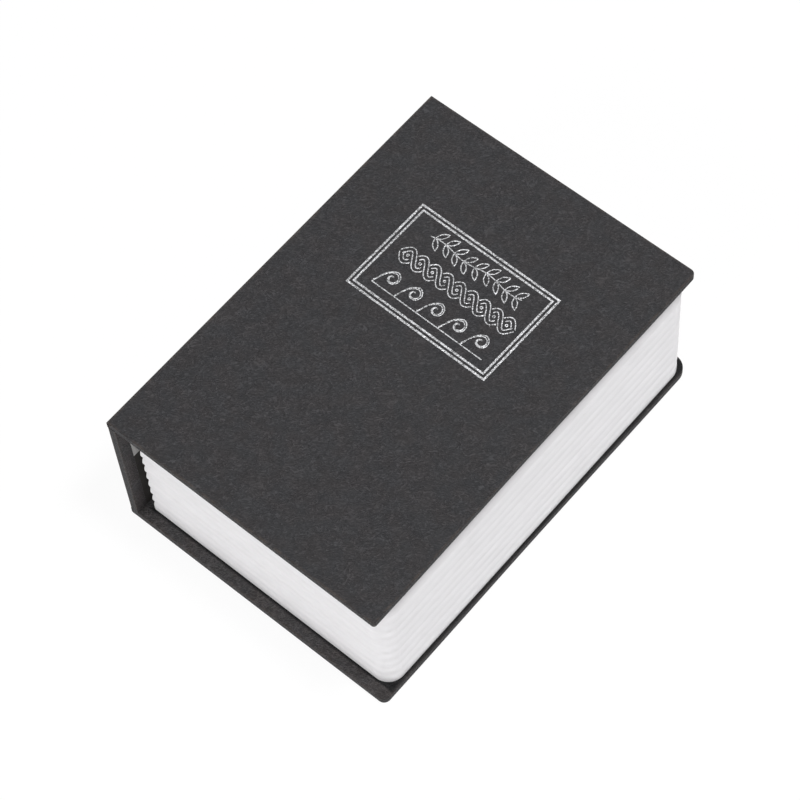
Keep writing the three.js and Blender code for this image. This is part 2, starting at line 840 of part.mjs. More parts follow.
makeCover("back", 0, coverThickness, backHeadRadius, backTailRadius, backTurnIn, "darkLining");
makeCover("front", bookThickness, coverInside, frontHeadRadius, frontTailRadius, turnIn, "lining");
makeSpine();
foilLine("title_frame_outer", 0, outerLineWidth);
foilLine("title_frame_inner", outerLineWidth + lineGap, innerLineWidth);
makePageBlock();
makeBox();
makeLid();
makeHinge();
makeRivets();
makeKeeper();
makeTape();
makeLockHousing();
makeLockNut();
makePlug();
makeWafers();
makeCam();

export default book;
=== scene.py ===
# A small hardback that hides a key-lock safe: its case, pages, steel box and lock, and the studio.
import json
from math import cos, hypot, pi, radians, sin, sqrt

import bmesh
import bpy
from mathutils import Matrix, Vector


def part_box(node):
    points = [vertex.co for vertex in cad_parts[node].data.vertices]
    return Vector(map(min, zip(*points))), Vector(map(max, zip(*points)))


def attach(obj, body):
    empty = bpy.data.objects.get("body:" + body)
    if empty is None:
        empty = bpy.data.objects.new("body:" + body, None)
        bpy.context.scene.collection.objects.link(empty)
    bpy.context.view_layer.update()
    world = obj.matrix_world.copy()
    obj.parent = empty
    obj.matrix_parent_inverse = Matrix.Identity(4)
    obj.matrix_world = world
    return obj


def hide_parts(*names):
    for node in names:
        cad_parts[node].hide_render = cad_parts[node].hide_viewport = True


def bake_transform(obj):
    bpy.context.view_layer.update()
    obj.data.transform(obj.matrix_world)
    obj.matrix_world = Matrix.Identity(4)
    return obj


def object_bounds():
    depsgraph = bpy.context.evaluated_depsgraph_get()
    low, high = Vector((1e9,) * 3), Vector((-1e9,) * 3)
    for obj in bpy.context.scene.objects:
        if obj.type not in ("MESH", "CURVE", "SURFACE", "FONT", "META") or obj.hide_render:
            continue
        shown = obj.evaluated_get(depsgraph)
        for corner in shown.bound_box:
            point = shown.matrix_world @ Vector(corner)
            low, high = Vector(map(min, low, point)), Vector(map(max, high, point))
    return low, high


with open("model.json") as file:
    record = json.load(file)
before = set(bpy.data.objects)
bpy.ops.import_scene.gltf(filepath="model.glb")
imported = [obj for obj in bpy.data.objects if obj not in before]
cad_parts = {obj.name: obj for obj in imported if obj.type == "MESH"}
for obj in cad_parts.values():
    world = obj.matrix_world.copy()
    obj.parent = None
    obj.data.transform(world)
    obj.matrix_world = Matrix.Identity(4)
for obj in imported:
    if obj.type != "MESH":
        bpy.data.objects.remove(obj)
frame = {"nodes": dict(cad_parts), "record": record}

cadBox = [list(corner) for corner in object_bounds()]
mm = 0.001


def stageDone(words):
    print("scene:", words)


# Small tools for modelling

def mmBox(node):
    low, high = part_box(node)
    return low / mm, high / mm


def deselect():
    bpy.ops.object.select_all(action="DESELECT")


def only(piece):
    deselect()
    piece.select_set(True)
    bpy.context.view_layer.objects.active = piece


def edit(piece, kind="EDGE"):
    only(piece)
    bpy.ops.object.mode_set(mode="EDIT")
    bpy.ops.mesh.select_mode(type=kind)
    bpy.ops.mesh.select_all(action="DESELECT")


def leave():
    bpy.ops.object.mode_set(mode="OBJECT")


# Selects the parts of a mesh that pass a test, in edit mode. Places are in millimetres.
def pick(piece, kind, test):
    bpy.ops.mesh.select_mode(type={"verts": "VERT", "edges": "EDGE", "faces": "FACE"}[kind])
    bpy.ops.mesh.select_all(action="DESELECT")
    mesh = bmesh.from_edit_mesh(piece.data)
    for part in getattr(mesh, kind):
        if test(part):
            part.select_set(True)
    mesh.select_flush_mode()
    bmesh.update_edit_mesh(piece.data)


def along(edge, axis):
    a, b = (vert.co for vert in edge.verts)
    return abs((b - a).normalized()[axis]) > 0.99


def near(part, axis, place, slack=0.02):
    return all(abs(vert.co[axis] / mm - place) < slack for vert in part.verts)


def facing(face, axis, side):
    return face.normal[axis] * side > 0.9


def bevel(width, segments):
    bpy.ops.mesh.bevel(offset=width * mm, segments=segments, affect="EDGES")


def outwards():
    bpy.ops.mesh.select_all(action="SELECT")
    bpy.ops.mesh.remove_doubles(threshold=1e-6)
    bpy.ops.mesh.normals_make_consistent(inside=False)


def useModifier(piece, kind, **settings):
    only(piece)
    bpy.ops.object.modifier_add(type=kind)
    modifier = piece.modifiers[-1]
    for name, value in settings.items():
        setattr(modifier, name, value)
    bpy.ops.object.modifier_apply(modifier=modifier.name)


def giveWall(piece, thickness, offset=-1):
    useModifier(piece, "SOLIDIFY", thickness=thickness * mm, offset=offset, use_even_offset=True)


def softenEdges(piece, width, segments, angle):
    limit = {"limit_method": "ANGLE", "angle_limit": radians(angle)}
    useModifier(piece, "BEVEL", width=width * mm, segments=segments, use_clamp_overlap=True, **limit)


def boolean(piece, tool, operation="DIFFERENCE"):
    useModifier(piece, "BOOLEAN", object=tool, operation=operation, solver="EXACT")
    bpy.data.objects.remove(tool)


def addBlock(name, low, high):
    low, high = Vector(low) * mm, Vector(high) * mm
    deselect()
    bpy.ops.mesh.primitive_cube_add(size=1, location=(low + high) / 2)
    piece = bpy.context.object
    piece.name = name
    piece.scale = high - low
    bpy.ops.object.transform_apply(location=True, rotation=True, scale=True)
    return piece


# Cuts the mesh in edit mode at each place along an axis.
def sliceAt(axis, places):
    normal = [0, 0, 0]
    normal[axis] = 1
    for place in places:
        spot = [0, 0, 0]
        spot[axis] = place * mm
        bpy.ops.mesh.select_all(action="SELECT")
        bpy.ops.mesh.bisect(plane_co=spot, plane_no=normal)


# Draws a line through radius and height pairs: a plane shrunk to a point, moved and extruded on.
# It stays in edit mode.
def drawProfile(name, centre, profile):
    deselect()
    bpy.ops.mesh.primitive_plane_add(size=mm)
    piece = bpy.context.object
    piece.name = name
    edit(piece, "VERT")
    bpy.ops.mesh.select_all(action="SELECT")
    bpy.ops.mesh.merge(type="CENTER")
    place = Vector((0, 0, 0))
    for i, (radius, height) in enumerate(profile):
        target = Vector((centre[0] + radius, centre[1], height)) * mm
        step = {"value": target - place}
        if i:
            bpy.ops.mesh.extrude_region_move(TRANSFORM_OT_translate=step)
        else:
            bpy.ops.transform.translate(**step)
        place = target
    return piece


# A turned piece about a line along Z.
def turnRound(name, centre, profile, steps=64):
    piece = drawProfile(name, centre, profile)
    bpy.ops.mesh.select_all(action="SELECT")
    centreSpot = Vector((*centre, 0)) * mm
    bpy.ops.mesh.spin(steps=steps, angle=2 * pi, center=centreSpot, axis=(0, 0, 1))
    outwards()
    leave()
    return piece


def smooth(piece, angle=40, weighted=True):
    only(piece)
    bpy.ops.object.shade_smooth_by_angle(angle=radians(angle))
    if weighted:
        useModifier(piece, "WEIGHTED_NORMAL", keep_sharp=True)


# A copy of a CAD piece with its edges rounded.
def softened(node, name, width, segments=2, angle=30):
    only(frame["nodes"][node])
    bpy.ops.object.duplicate()
    piece = bpy.context.object
    piece.name = name
    edit(piece, "VERT")
    bpy.ops.mesh.select_all(action="SELECT")
    bpy.ops.mesh.remove_doubles(threshold=1e-6)
    bpy.ops.mesh.dissolve_limited(angle_limit=radians(1))
    leave()
    softenEdges(piece, width, segments, angle)
    smooth(piece, angle)
    return piece


# Keeps each point's place at rest, so that a pattern stays on the paper when it bends.
def keepPlaces(piece):
    mesh = piece.data
    places = mesh.attributes.new("restPlace", "FLOAT_VECTOR", "POINT")
    places.data.foreach_set("vector", [part for vert in mesh.vertices for part in vert.co])


def finish(piece, material, body, slot, *replaced):
    piece.data.materials.clear()
    piece.data.materials.append(material)
    if body:
        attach(piece, body)
    if replaced:
        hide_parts(*replaced)


def dress(material, *names):
    for name in names:
        slots = frame["nodes"][name].material_slots
        for slot in slots:
            slot.material = material


# Small tools for materials

def newMaterial(name, **sockets):
    material = bpy.data.materials.new(name)
    material.use_nodes = True
    tree = material.node_tree
    shader = tree.nodes["Principled BSDF"]
    for socket, value in sockets.items():
        shader.inputs[socket.replace("_", " ")].default_value = value
    return material, tree, shader


def addNode(tree, kind, sockets=(), **settings):
    made = tree.nodes.new("ShaderNode" + kind)
    for name, value in settings.items():
        setattr(made, name, value)
    for name, value in dict(sockets).items():
        if isinstance(value, bpy.types.NodeSocket):
            tree.links.new(value, made.inputs[name])
        else:
            made.inputs[name].default_value = value
    return made


def calc(tree, operation, *values, clamp=False):
    return addNode(tree, "Math", enumerate(values), operation=operation, use_clamp=clamp).outputs[0]


def mixColour(tree, share, first, second):
    first, second = (
        value if isinstance(value, bpy.types.NodeSocket) else (*value, 1)
        for value in (first, second)
    )
    return addNode(tree, "Mix", {0: share, 6: first, 7: second}, data_type="RGBA").outputs[2]


# A value that runs softly from 0 to 1 while another runs from low to high.
def ramp(tree, value, low, high):
    sockets = {"Value": value, "From Min": low, "From Max": high}
    made = addNode(tree, "MapRange", sockets, interpolation_type="SMOOTHSTEP")
    return made.outputs["Result"]


def noise(tree, place, scale, detail=2.0, roughness=0.5, distortion=0.0, output="Fac"):
    sockets = {
        "Vector": place,
        "Scale": scale,
        "Detail": detail,
        "Roughness": roughness,
        "Distortion": distortion,
    }
    return addNode(tree, "TexNoise", sockets).outputs[output]


def bump(tree, height, shader, depth):
    made = addNode(tree, "Bump", {"Height": height, "Distance": depth * mm, "Strength": 1.0})
    tree.links.new(made.outputs["Normal"], shader.inputs["Normal"])


# Takes places and colours alike.
def scaled(tree, vector, scale):
    return addNode(tree, "VectorMath", {0: vector, 1: scale}, operation="MULTIPLY").outputs[0]


def shifted(tree, vector, shift):
    return addNode(tree, "VectorMath", {0: vector, 1: shift}, operation="ADD").outputs[0]


# Object coordinates in millimetres.
def objectPlace(tree):
    place = addNode(tree, "TexCoord").outputs["Object"]
    return scaled(tree, place, (1 / mm,) * 3)


# Places at rest in millimetres, for papers that bend.
def restPlace(tree):
    place = addNode(tree, "Attribute", attribute_name="restPlace").outputs["Vector"]
    return scaled(tree, place, (1 / mm,) * 3)


leatherette = {
    "dark": (0.0164, 0.0162, 0.017),
    "light": (0.0452, 0.0438, 0.0454),
    "wear": (0.085, 0.066, 0.055),
    "shade": (0.004, 0.004, 0.0045),
    "toneRange": (0.08, 1.28),  # relief from the darkest tone to the lightest
    "cloudTints": ((0.98, 1.0, 1.04), (1.03, 0.99, 1.0)),  # cool and warm
    "cloudScale": 0.2,
    "grainTurn": 40,  # degrees from X, along the wrinkles
    "wrinkle": 0.5,  # mm
    "stretch": 2.6,  # length of a wrinkle to its width
    "waviness": 1.0,  # mm
    "bendScale": 0.3,
    "ridgeWidth": 0.1,
    "ridgeShare": 0.7,  # of the wrinkles in the relief
    "fineScale": 1.65,  # to the wrinkles
    "fineShare": 0.9,
    "patchScale": 0.22,  # where the wrinkles are strong and weak
    "creaseSpacing": 6.0,  # mm, between the long faint creases
    "creaseWidth": 0.016,
    "creaseShare": 0.36,
    "depth": 0.25,  # mm, of the relief in the shading
    "wearReach": 0.7,  # mm in from a rim
    "wearShare": (0.45, 0.05),  # in patches, and all along
    "contactReach": (1.9, 1.0),  # mm out from the pages, at the fore edge and at the tail
    "openReach": 16.0,  # mm back from the fore edge of the pages, along the strip at their tail
    "openEdge": (0.2, 1.2),  # mm out from the tail, where that strip starts and where it is full
    "openTone": 0.5,  # of the strip's colour at its fore end
    "turnedDepth": 0.25,  # mm, from the inner face to where its colour ends
    # painted light: the inside faces where the edges are turned over are painted this much lighter
    # than the outside, as if better lit
    "paintedLift": (2.6, 2.5, 2.38),  # the edges turned over on the inside, to the outside
    "speckSpacing": 7.0,
    "speckSize": 0.022,
    "speckColour": (0.5, 0.5, 0.5),
    "roughness": 0.66,
    "specular": 0.2,
}


# How near a point is to a rim of the box between two corners, in millimetres: the second largest
# of its three heights over the faces. It is zero on the rim and falls off inwards.
def rimNearness(tree, place, low, high):
    centre = [(a + b) / 2 for a, b in zip(low, high)]
    half = [(b - a) / 2 for a, b in zip(low, high)]
    offset = shifted(tree, place, [-c for c in centre])
    parts = addNode(tree, "SeparateXYZ", {"Vector": offset}).outputs
    depth = [
        calc(tree, "SUBTRACT", calc(tree, "ABSOLUTE", part), size)
        for part, size in zip(parts, half)
    ]
    pairs = [calc(tree, "MINIMUM", depth[i], depth[(i + 1) % 3]) for i in range(3)]
    return calc(tree, "MAXIMUM", calc(tree, "MAXIMUM", pairs[0], pairs[1]), pairs[2])


# Wrinkles of the leather pattern: they run where a stretched noise crosses its middle.
def wrinkles(tree, place):
    bend = noise(tree, place, leatherette["bendScale"], 1.0, output="Color")
    bend = scaled(tree, shifted(tree, bend, (-0.5,) * 3), (leatherette["waviness"] * 2,) * 3)
    sockets = {"Vector": shifted(tree, place, bend), "Angle": -radians(leatherette["grainTurn"])}
    turned = addNode(tree, "VectorRotate", sockets, rotation_type="Z_AXIS").outputs[0]
    bent = scaled(tree, turned, (1 / leatherette["stretch"], 1.0, 1.0))
    rate = 1 / leatherette["wrinkle"]
    coarse = noise(tree, bent, rate, 1.0)
    away = calc(tree, "ABSOLUTE", calc(tree, "SUBTRACT", coarse, 0.5))
    ridge = ramp(tree, away, leatherette["ridgeWidth"], 0.0)
    patch = ramp(tree, noise(tree, place, leatherette["patchScale"], 2.0, 0.6), 0.36, 0.62)
    ridge = calc(tree, "MULTIPLY", ridge, calc(tree, "MULTIPLY_ADD", patch, 0.5, 0.5))
    fine = noise(tree, bent, rate * leatherette["fineScale"], 1.0)
    fine = calc(tree, "MULTIPLY", fine, leatherette["fineShare"])
    short = calc(tree, "MULTIPLY_ADD", ridge, leatherette["ridgeShare"], fine)
    # long faint creases
    sway = scaled(tree, shifted(tree, place, bend), (1.0, 0.45, 1.0))
    long = noise(tree, sway, 1 / leatherette["creaseSpacing"], 3.0, 0.6, 0.8)
    far = calc(tree, "ABSOLUTE", calc(tree, "SUBTRACT", long, 0.5))
    crease = ramp(tree, far, leatherette["creaseWidth"], 0.0)
    return calc(tree, "MULTIPLY_ADD", crease, leatherette["creaseShare"], short)


# Paints the shadow of the pages on the inside of the back cover, close to their foot, whose corners
# it is given.
# Its strips at the head and the tail get less of the painted lift towards the fore edge, where more
# light falls.
def contactShade(tree, place, colour, low, high):
    centre = (low + high) / 2
    half = (high - low) / 2
    parts = addNode(tree, "SeparateXYZ", {"Vector": shifted(tree, place, -centre)}).outputs
    beyond = [calc(tree, "SUBTRACT", calc(tree, "ABSOLUTE", parts[i]), half[i]) for i in range(2)]
    inside = ramp(tree, parts[2], -half.z - leatherette["turnedDepth"], -half.z - 0.05)
    # the open ends of the strips, where the painted lift is toned down because more light falls there
    fore = ramp(tree, parts[0], half.x - leatherette["openReach"], half.x)
    strip = ramp(tree, beyond[1], *leatherette["openEdge"])
    bare = calc(tree, "MULTIPLY", calc(tree, "MULTIPLY", strip, fore), inside)
    toned = mixColour(tree, bare, (1, 1, 1), (leatherette["openTone"],) * 3)
    colour = scaled(tree, colour, toned)
    # painted shadow: the band along the pages
    reaches = zip(beyond, leatherette["contactReach"])
    band = [ramp(tree, gap, reach, 0.1) for gap, reach in reaches]
    close = calc(tree, "MULTIPLY", calc(tree, "MINIMUM", *band), inside)
    return mixColour(tree, close, colour, leatherette["shade"])


# Its rims are those of the box from low to high. Contact is the pages' box, and inner the axis and
# place of the face where its edges are turned over.
def makeLeatherette(name, low, high, contact=None, inner=None):
    sockets = {"Specular_IOR_Level": leatherette["specular"]}
    material, tree, shader = newMaterial(name, **sockets)
    place = restPlace(tree)
    relief = wrinkles(tree, place)
    bump(tree, relief, shader, leatherette["depth"])
    tone = ramp(tree, relief, *leatherette["toneRange"])
    colour = mixColour(tree, tone, leatherette["dark"], leatherette["light"])
    cloud = ramp(tree, noise(tree, place, leatherette["cloudScale"], 2.0), 0.35, 0.65)
    colour = scaled(tree, colour, mixColour(tree, cloud, *leatherette["cloudTints"]))
    # painted light: the turned-over inside face is painted lighter by paintedLift, to stand in for
    # light it doesn't get
    if inner:
        axis, level = inner
        part = addNode(tree, "SeparateXYZ", {"Vector": place}).outputs[axis]
        share = ramp(tree, part, level - leatherette["turnedDepth"], level - 0.05)
        colour = scaled(tree, colour, mixColour(tree, share, (1, 1, 1), leatherette["paintedLift"]))
    # worn rims
    rim = ramp(tree, rimNearness(tree, place, low, high), -leatherette["wearReach"], -0.05)
    rub = ramp(tree, noise(tree, place, 0.5, 3.0, 0.65), 0.36, 0.66)
    worn = calc(tree, "MULTIPLY", rim, calc(tree, "MULTIPLY_ADD", rub, *leatherette["wearShare"]))
    colour = mixColour(tree, worn, colour, leatherette["wear"])
    if contact:
        colour = contactShade(tree, place, colour, *contact)
    # dust
    sockets = {"Vector": place, "Scale": 1 / leatherette["speckSpacing"]}
    cells = addNode(tree, "TexVoronoi", sockets).outputs
    size = leatherette["speckSize"]
    dot = ramp(tree, cells["Distance"], size, size - 0.01)
    chance = addNode(tree, "SeparateColor", {"Color": cells["Color"]}).outputs[0]
    speck = calc(tree, "MULTIPLY", dot, ramp(tree, chance, 0.8, 0.95))
    speck = calc(tree, "MULTIPLY", speck, 0.5)
    colour = mixColour(tree, speck, colour, leatherette["speckColour"])
    tree.links.new(colour, shader.inputs["Base Color"])
    gloss = calc(tree, "MULTIPLY_ADD", tone, -0.12, leatherette["roughness"])
    tree.links.new(gloss, shader.inputs["Roughness"])
    return material


paper = {
    "pale": ((0.60, 0.59, 0.57), (0.68, 0.675, 0.66)),
    "dark": ((0.018, 0.017, 0.017), (0.034, 0.032, 0.031)),
    "spine": ((0.042, 0.039, 0.037), (0.066, 0.061, 0.058)),
    "board": ((0.20, 0.175, 0.145), (0.33, 0.30, 0.255)),
    "fibreScale": 2.2,
    "fibreDepth": 0.012,
    "cloudScale": 0.12,
    "roughness": (0.15, 0.78),  # more over the fibres, and everywhere
    "specular": 0.2,
}


def makePaper(name, shades, bending=False):
    material, tree, shader = newMaterial(name, Specular_IOR_Level=paper["specular"])
    place = restPlace(tree) if bending else objectPlace(tree)
    fibres = noise(tree, place, paper["fibreScale"], 4.0, 0.7, 1.2)
    clouds = noise(tree, place, paper["cloudScale"], 2.0)
    share = ramp(tree, calc(tree, "MULTIPLY_ADD", clouds, 0.5, fibres), 0.45, 1.05)
    tree.links.new(mixColour(tree, share, *shades), shader.inputs["Base Color"])
    dull = calc(tree, "MULTIPLY_ADD", fibres, *paper["roughness"])
    tree.links.new(dull, shader.inputs["Roughness"])
    bump(tree, fibres, shader, paper["fibreDepth"])
    return material


# Camera and studio

cameraView = {
    "place": (0.234899, -0.234141, 0.612557),  # metres
    "right": (0.76166, 0.64601, -0.05045),
    "up": (-0.54635, 0.68211, 0.48603),
    "back": (0.34839, -0.34263, 0.87249),
    "lens": 128.976,  # mm, on a sensor 36 mm wide
}

studio = {
    "worldStrength": 0.32,
    "floorSize": 6.0,
    "floorColour": (0.92, 0.92, 0.93),
    "floorWhite": 0.93,  # how far the floor is lifted to white where it is looked at
    "lamps": (
        # place, size, power
        ((-0.02, -1.0, 0.60), 0.7, 5.0),
        ((0.30, 0.1, 1.0), 0.2, 7.6),
        ((-0.45, 0.85, 0.55), 0.7, 1.6),
    ),
    "aim": (0.0, 0.0, 0.02),
}


def makeCamera():
    deselect()
    bpy.ops.object.camera_add()
    camera = bpy.context.object
    camera.name = "camera"
    turn = Matrix([cameraView["right"], cameraView["up"], cameraView["back"]]).transposed()
    camera.rotation_euler = turn.to_euler()
    camera.location = cameraView["place"]
    camera.data.lens = cameraView["lens"]
    camera.data.sensor_width = 36
    bpy.context.scene.camera = camera


def seenOrMirrored(tree):
    path = addNode(tree, "LightPath").outputs
    seen = calc(tree, "ADD", path["Is Camera Ray"], path["Is Glossy Ray"], clamp=True)
    return calc(tree, "ADD", seen, path["Is Transmission Ray"], clamp=True)


def makeStudio():
    world = bpy.data.worlds.new("studio_white")
    bpy.context.scene.world = world
    world.use_nodes = True
    tree = world.node_tree
    backdrop = tree.nodes["Background"]
    backdrop.inputs["Color"].default_value = (1, 1, 1, 1)
    plain = studio["worldStrength"]
    strength = calc(tree, "MULTIPLY_ADD", seenOrMirrored(tree), 1 - plain, plain)
    tree.links.new(strength, backdrop.inputs["Strength"])

    deselect()
    bpy.ops.mesh.primitive_plane_add(size=studio["floorSize"])
    floor = bpy.context.object
    floor.name = "studio_floor"
    colour = (*studio["floorColour"], 1)
    sockets = {"Base_Color": colour, "Roughness": 1, "Specular_IOR_Level": 0}
    material, tree, shader = newMaterial("studio_paper", **sockets)
    lift = addNode(tree, "Emission", {"Color": (1, 1, 1, 1), "Strength": 1.0})
    share = calc(tree, "MULTIPLY", seenOrMirrored(tree), studio["floorWhite"])
    both = addNode(tree, "MixShader", {0: share, 1: shader.outputs[0], 2: lift.outputs[0]})
    tree.links.new(both.outputs[0], tree.nodes["Material Output"].inputs["Surface"])
    floor.data.materials.append(material)

    for place, size, power in studio["lamps"]:
        turn = (Vector(studio["aim"]) - Vector(place)).to_track_quat("-Z", "Y").to_euler()
        bpy.ops.object.light_add(type="AREA", location=place, rotation=turn)
        lamp = bpy.context.object
        lamp.data.shape = "DISK"
        lamp.data.size = size
        lamp.data.energy = power
    bpy.context.scene.view_settings.view_transform = "Standard"


makeCamera()
makeStudio()
stageDone("camera and studio")


# The case: papered boards, and the strips of paper that bend at the two creases

case = {
    "rimRadius": 0.22,  # mm
    "innerRimRadius": 0.15,
    "spineRimRadius": 0.25,
    "creaseRadius": 0.35,
    "spineBulge": 0.25,  # paper stands this far off the spine
    "tuckRadius": 0.9,  # edge of a board under the crease strip
    "paper": 0.3,
    "cornerSegments": 10,
    "rimSegments": 5,
    "frontCorners": (1.4, 0.8),  # head and tail, at the fore edge
    "backCorners": (4.0, 1.8),
    "frontTurnIn": 3.3,
    "backTurnIn": 7.0,
    "foreBow": 0.2,  # the fore edge is pulled in by this at its middle
    "bowReach": 50,
    "bowSteps": 14,  # cuts along the fore edge
    "foldSheet": 0.1,
    "foldGap": 0.05,
}

bookLow = Vector(cadBox[0]) / mm
bookHigh = mmBox("front_cover_paper")[1]
sheet = case["paper"]


# The paper of a board. It runs round the edges and is turned over on the inside, open in the middle
# for the lining, and on the spine side it dips under the crease strip.
def makeCover(name, side, corners, turnIn, node):
    low, high = mmBox(node)
    outer, inner = (high.z, low.z) if side > 0 else (low.z, high.z)
    spineEdge = low.x + sheet
    piece = addBlock(name, (spineEdge, low.y, low.z), high)
    edit(piece)
    for end, radius in zip((high.y, low.y), corners):
        pick(piece, "edges", lambda e: along(e, 2) and near(e, 1, end) and near(e, 0, high.x))
        bevel(radius, case["cornerSegments"])
    pick(piece, "edges", lambda e: near(e, 2, outer) and near(e, 0, spineEdge))
    bevel(case["tuckRadius"], case["rimSegments"] + 3)
    flatEnd = spineEdge + case["tuckRadius"]

    def onRim(edge, level):
        return near(edge, 2, level) and any(v.co.x / mm > flatEnd + 0.1 for v in edge.verts)

    pick(piece, "edges", lambda e: onRim(e, outer))
    bevel(case["rimRadius"], case["rimSegments"])
    pick(piece, "edges", lambda e: onRim(e, inner))
    bevel(case["innerRimRadius"], 3)
    # the middle of the inside opens for the lining
    fore = high.x - turnIn
    end = high.y - turnIn
    for axis, place in ((0, fore), (1, end), (1, -end)):
        pick(piece, "faces", lambda f: facing(f, 2, -side) and near(f, 2, inner))
        spot, normal = [0, 0, 0], [0, 0, 0]
        spot[axis], normal[axis] = place * mm, 1
        bpy.ops.mesh.bisect(plane_co=spot, plane_no=normal)

    def isMiddle(face):
        middle = face.calc_center_median() / mm
        level = facing(face, 2, -side) and near(face, 2, inner)
        return level and middle.x < fore and abs(middle.y) < end

    pick(piece, "faces", isMiddle)
    bpy.ops.mesh.delete(type="FACE")
    # the fore edge is a little hollow between its corners
    steps = case["bowSteps"]
    sliceAt(1, [low.y + (high.y - low.y) * i / steps for i in range(1, steps)])
    nearMiddle = (high.y - low.y) / steps / 2
    pick(piece, "verts", lambda v: v.co.x / mm > high.x - 0.6 and abs(v.co.y / mm) < nearMiddle)
    bpy.ops.transform.translate(
        value=(-case["foreBow"] * mm, 0, 0),
        use_proportional_edit=True,
        proportional_edit_falloff="SMOOTH",
        proportional_size=case["bowReach"] * mm,
    )
    leave()
    giveWall(piece, sheet)
    smooth(piece)
    keepPlaces(piece)
    return piece


def makeSpine():
    low, high = mmBox("spine_cover_paper")
    low.x -= case["spineBulge"]
    piece = addBlock("spine_wrap", low, high)
    edit(piece)
    ends = low.y, high.y
    for side, radius in ((low.x, "spineRimRadius"), (high.x, "innerRimRadius")):
        pick(piece, "edges", lambda e: near(e, 0, side) and any(near(e, 1, end) for end in ends))
        bevel(case[radius], case["rimSegments"])
    end = high.y - case["frontTurnIn"]
    for place in (end, -end):
        pick(piece, "faces", lambda f: facing(f, 0, 1) and near(f, 0, high.x))
        bpy.ops.mesh.bisect(plane_co=(0, place * mm, 0), plane_no=(0, 1, 0))

    def isOpen(face):
        inside = facing(face, 0, 1) and abs(face.calc_center_median().y / mm) < end
        return inside or facing(face, 2, 1) or facing(face, 2, -1)

    pick(piece, "faces", isOpen)
    bpy.ops.mesh.delete(type="FACE")
    leave()
    giveWall(piece, sheet)
    smooth(piece)
    keepPlaces(piece)
    return piece


# Cover paper round the corner between a cover and the spine.
def makeCrease(name, side):
    radius = case["creaseRadius"]
    spineLow, spineHigh = mmBox("spine_cover_paper")
    outer = bookHigh.z if side > 0 else bookLow.z
    spineEnd = spineHigh.z if side > 0 else spineLow.z
    boardEnd = bookLow.x + sheet + case["tuckRadius"]
    left = bookLow.x - case["spineBulge"]
    low = (left, bookLow.y, min(outer, spineEnd))
    high = (boardEnd, -bookLow.y, max(outer, spineEnd))
    piece = addBlock(name, low, high)
    edit(piece)
    pick(piece, "edges", lambda e: near(e, 2, outer) and near(e, 0, left))
    bevel(radius, 8)

    def isOpen(face):
        end = abs(face.normal.y) > 0.9
        return end or facing(face, 0, 1) or facing(face, 2, -side)

    pick(piece, "faces", isOpen)
    bpy.ops.mesh.delete(type="FACE")
    flat = abs(outer - spineEnd) - radius
    sliceAt(2, [spineEnd + side * flat * i / 5 for i in range(1, 5)])
    sliceAt(0, [(left + radius + boardEnd) / 2])
    leave()
    giveWall(piece, sheet)
    smooth(piece, weighted=False)
    keepPlaces(piece)
    turned = Vector((left + radius, 0, outer)) * mm
    still = Vector((left, 0, spineEnd)) * mm
    return piece, still, turned


# Lining paper where it folds from a cover down to the spine.
def makeFold(name, side, lining):
    low, high = mmBox("spine_cover_paper")
    reach = mmBox(lining)[1].y
    start = (high.z if side > 0 else low.z) + side * case["foldGap"]
    end = start + side * case["foldSheet"]
    left = low.x + case["foldGap"] * 4
    right = high.x - case["foldGap"] * 3
    piece = addBlock(name, (left, -reach, min(start, end)), (right, reach, max(start, end)))
    edit(piece)
    sliceAt(0, [left + (right - left) * i / 8 for i in range(1, 8)])
    leave()
    smooth(piece, weighted=False)
    keepPlaces(piece)
    height = (start + end) / 2
    return piece, Vector((right, 0, height)) * mm, Vector((left, 0, height)) * mm


def dressCase():
    sides = (
        ("front", 1, "front_cover", "front_endpaper", "pale"),
        ("back", -1, "base", "back_endpaper", "dark"),
    )
    whole = makeLeatherette("crease_leatherette", bookLow, bookHigh)
    for word, side, body, lining, shade in sides:
        node = word + "_cover_paper"
        corners, turnIn = case[word + "Corners"], case[word + "TurnIn"]
        piece = makeCover(word + "_cover_wrap", side, corners, turnIn, node)
        low, high = mmBox(node)
        contact, inner = (mmBox("page_block"), (2, high.z)) if side < 0 else (None, None)
        material = makeLeatherette(word + "_leatherette", low, high, contact, inner)
        finish(piece, material, body, "leatherette_paper", node)
        piece, still, turned = makeCrease(word + "_crease_paper", side)
        finish(piece, whole, None, "leatherette_paper")
        fold, foldStill, foldTurned = makeFold(word + "_lining_fold", side, lining)
        foldPaper = makePaper(word + "_fold_paper", paper[shade], bending=True)
        finish(fold, foldPaper, None, shade + "_lining")
        for strip, onSpine, onCover in ((piece, still, turned), (fold, foldStill, foldTurned)):
            if side > 0:
                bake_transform(strip)
            else:
                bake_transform(strip)
    low, high = mmBox("spine_cover_paper")
    ends = (low.x, low.y, bookLow.z), (high.x, high.y, bookHigh.z)
    material = makeLeatherette("spine_leatherette", *ends, inner=(0, high.x))
    finish(makeSpine(), material, "spine", "leatherette_paper", "spine_cover_paper")
    dress(makePaper("greyboard_core", paper["board"]), "front_board", "back_board", "spine_board")
    dress(makePaper("pale_paper", paper["pale"]), "front_endpaper", "spine_endpaper_flap")
    dress(makePaper("dark_paper", paper["dark"]), "back_endpaper")
    dress(makePaper("spine_paper", paper["spine"]), "spine_lining")


dressCase()
stageDone("case")


# The moulded pages: soft ribs pressed into a wall that is open towards the spine

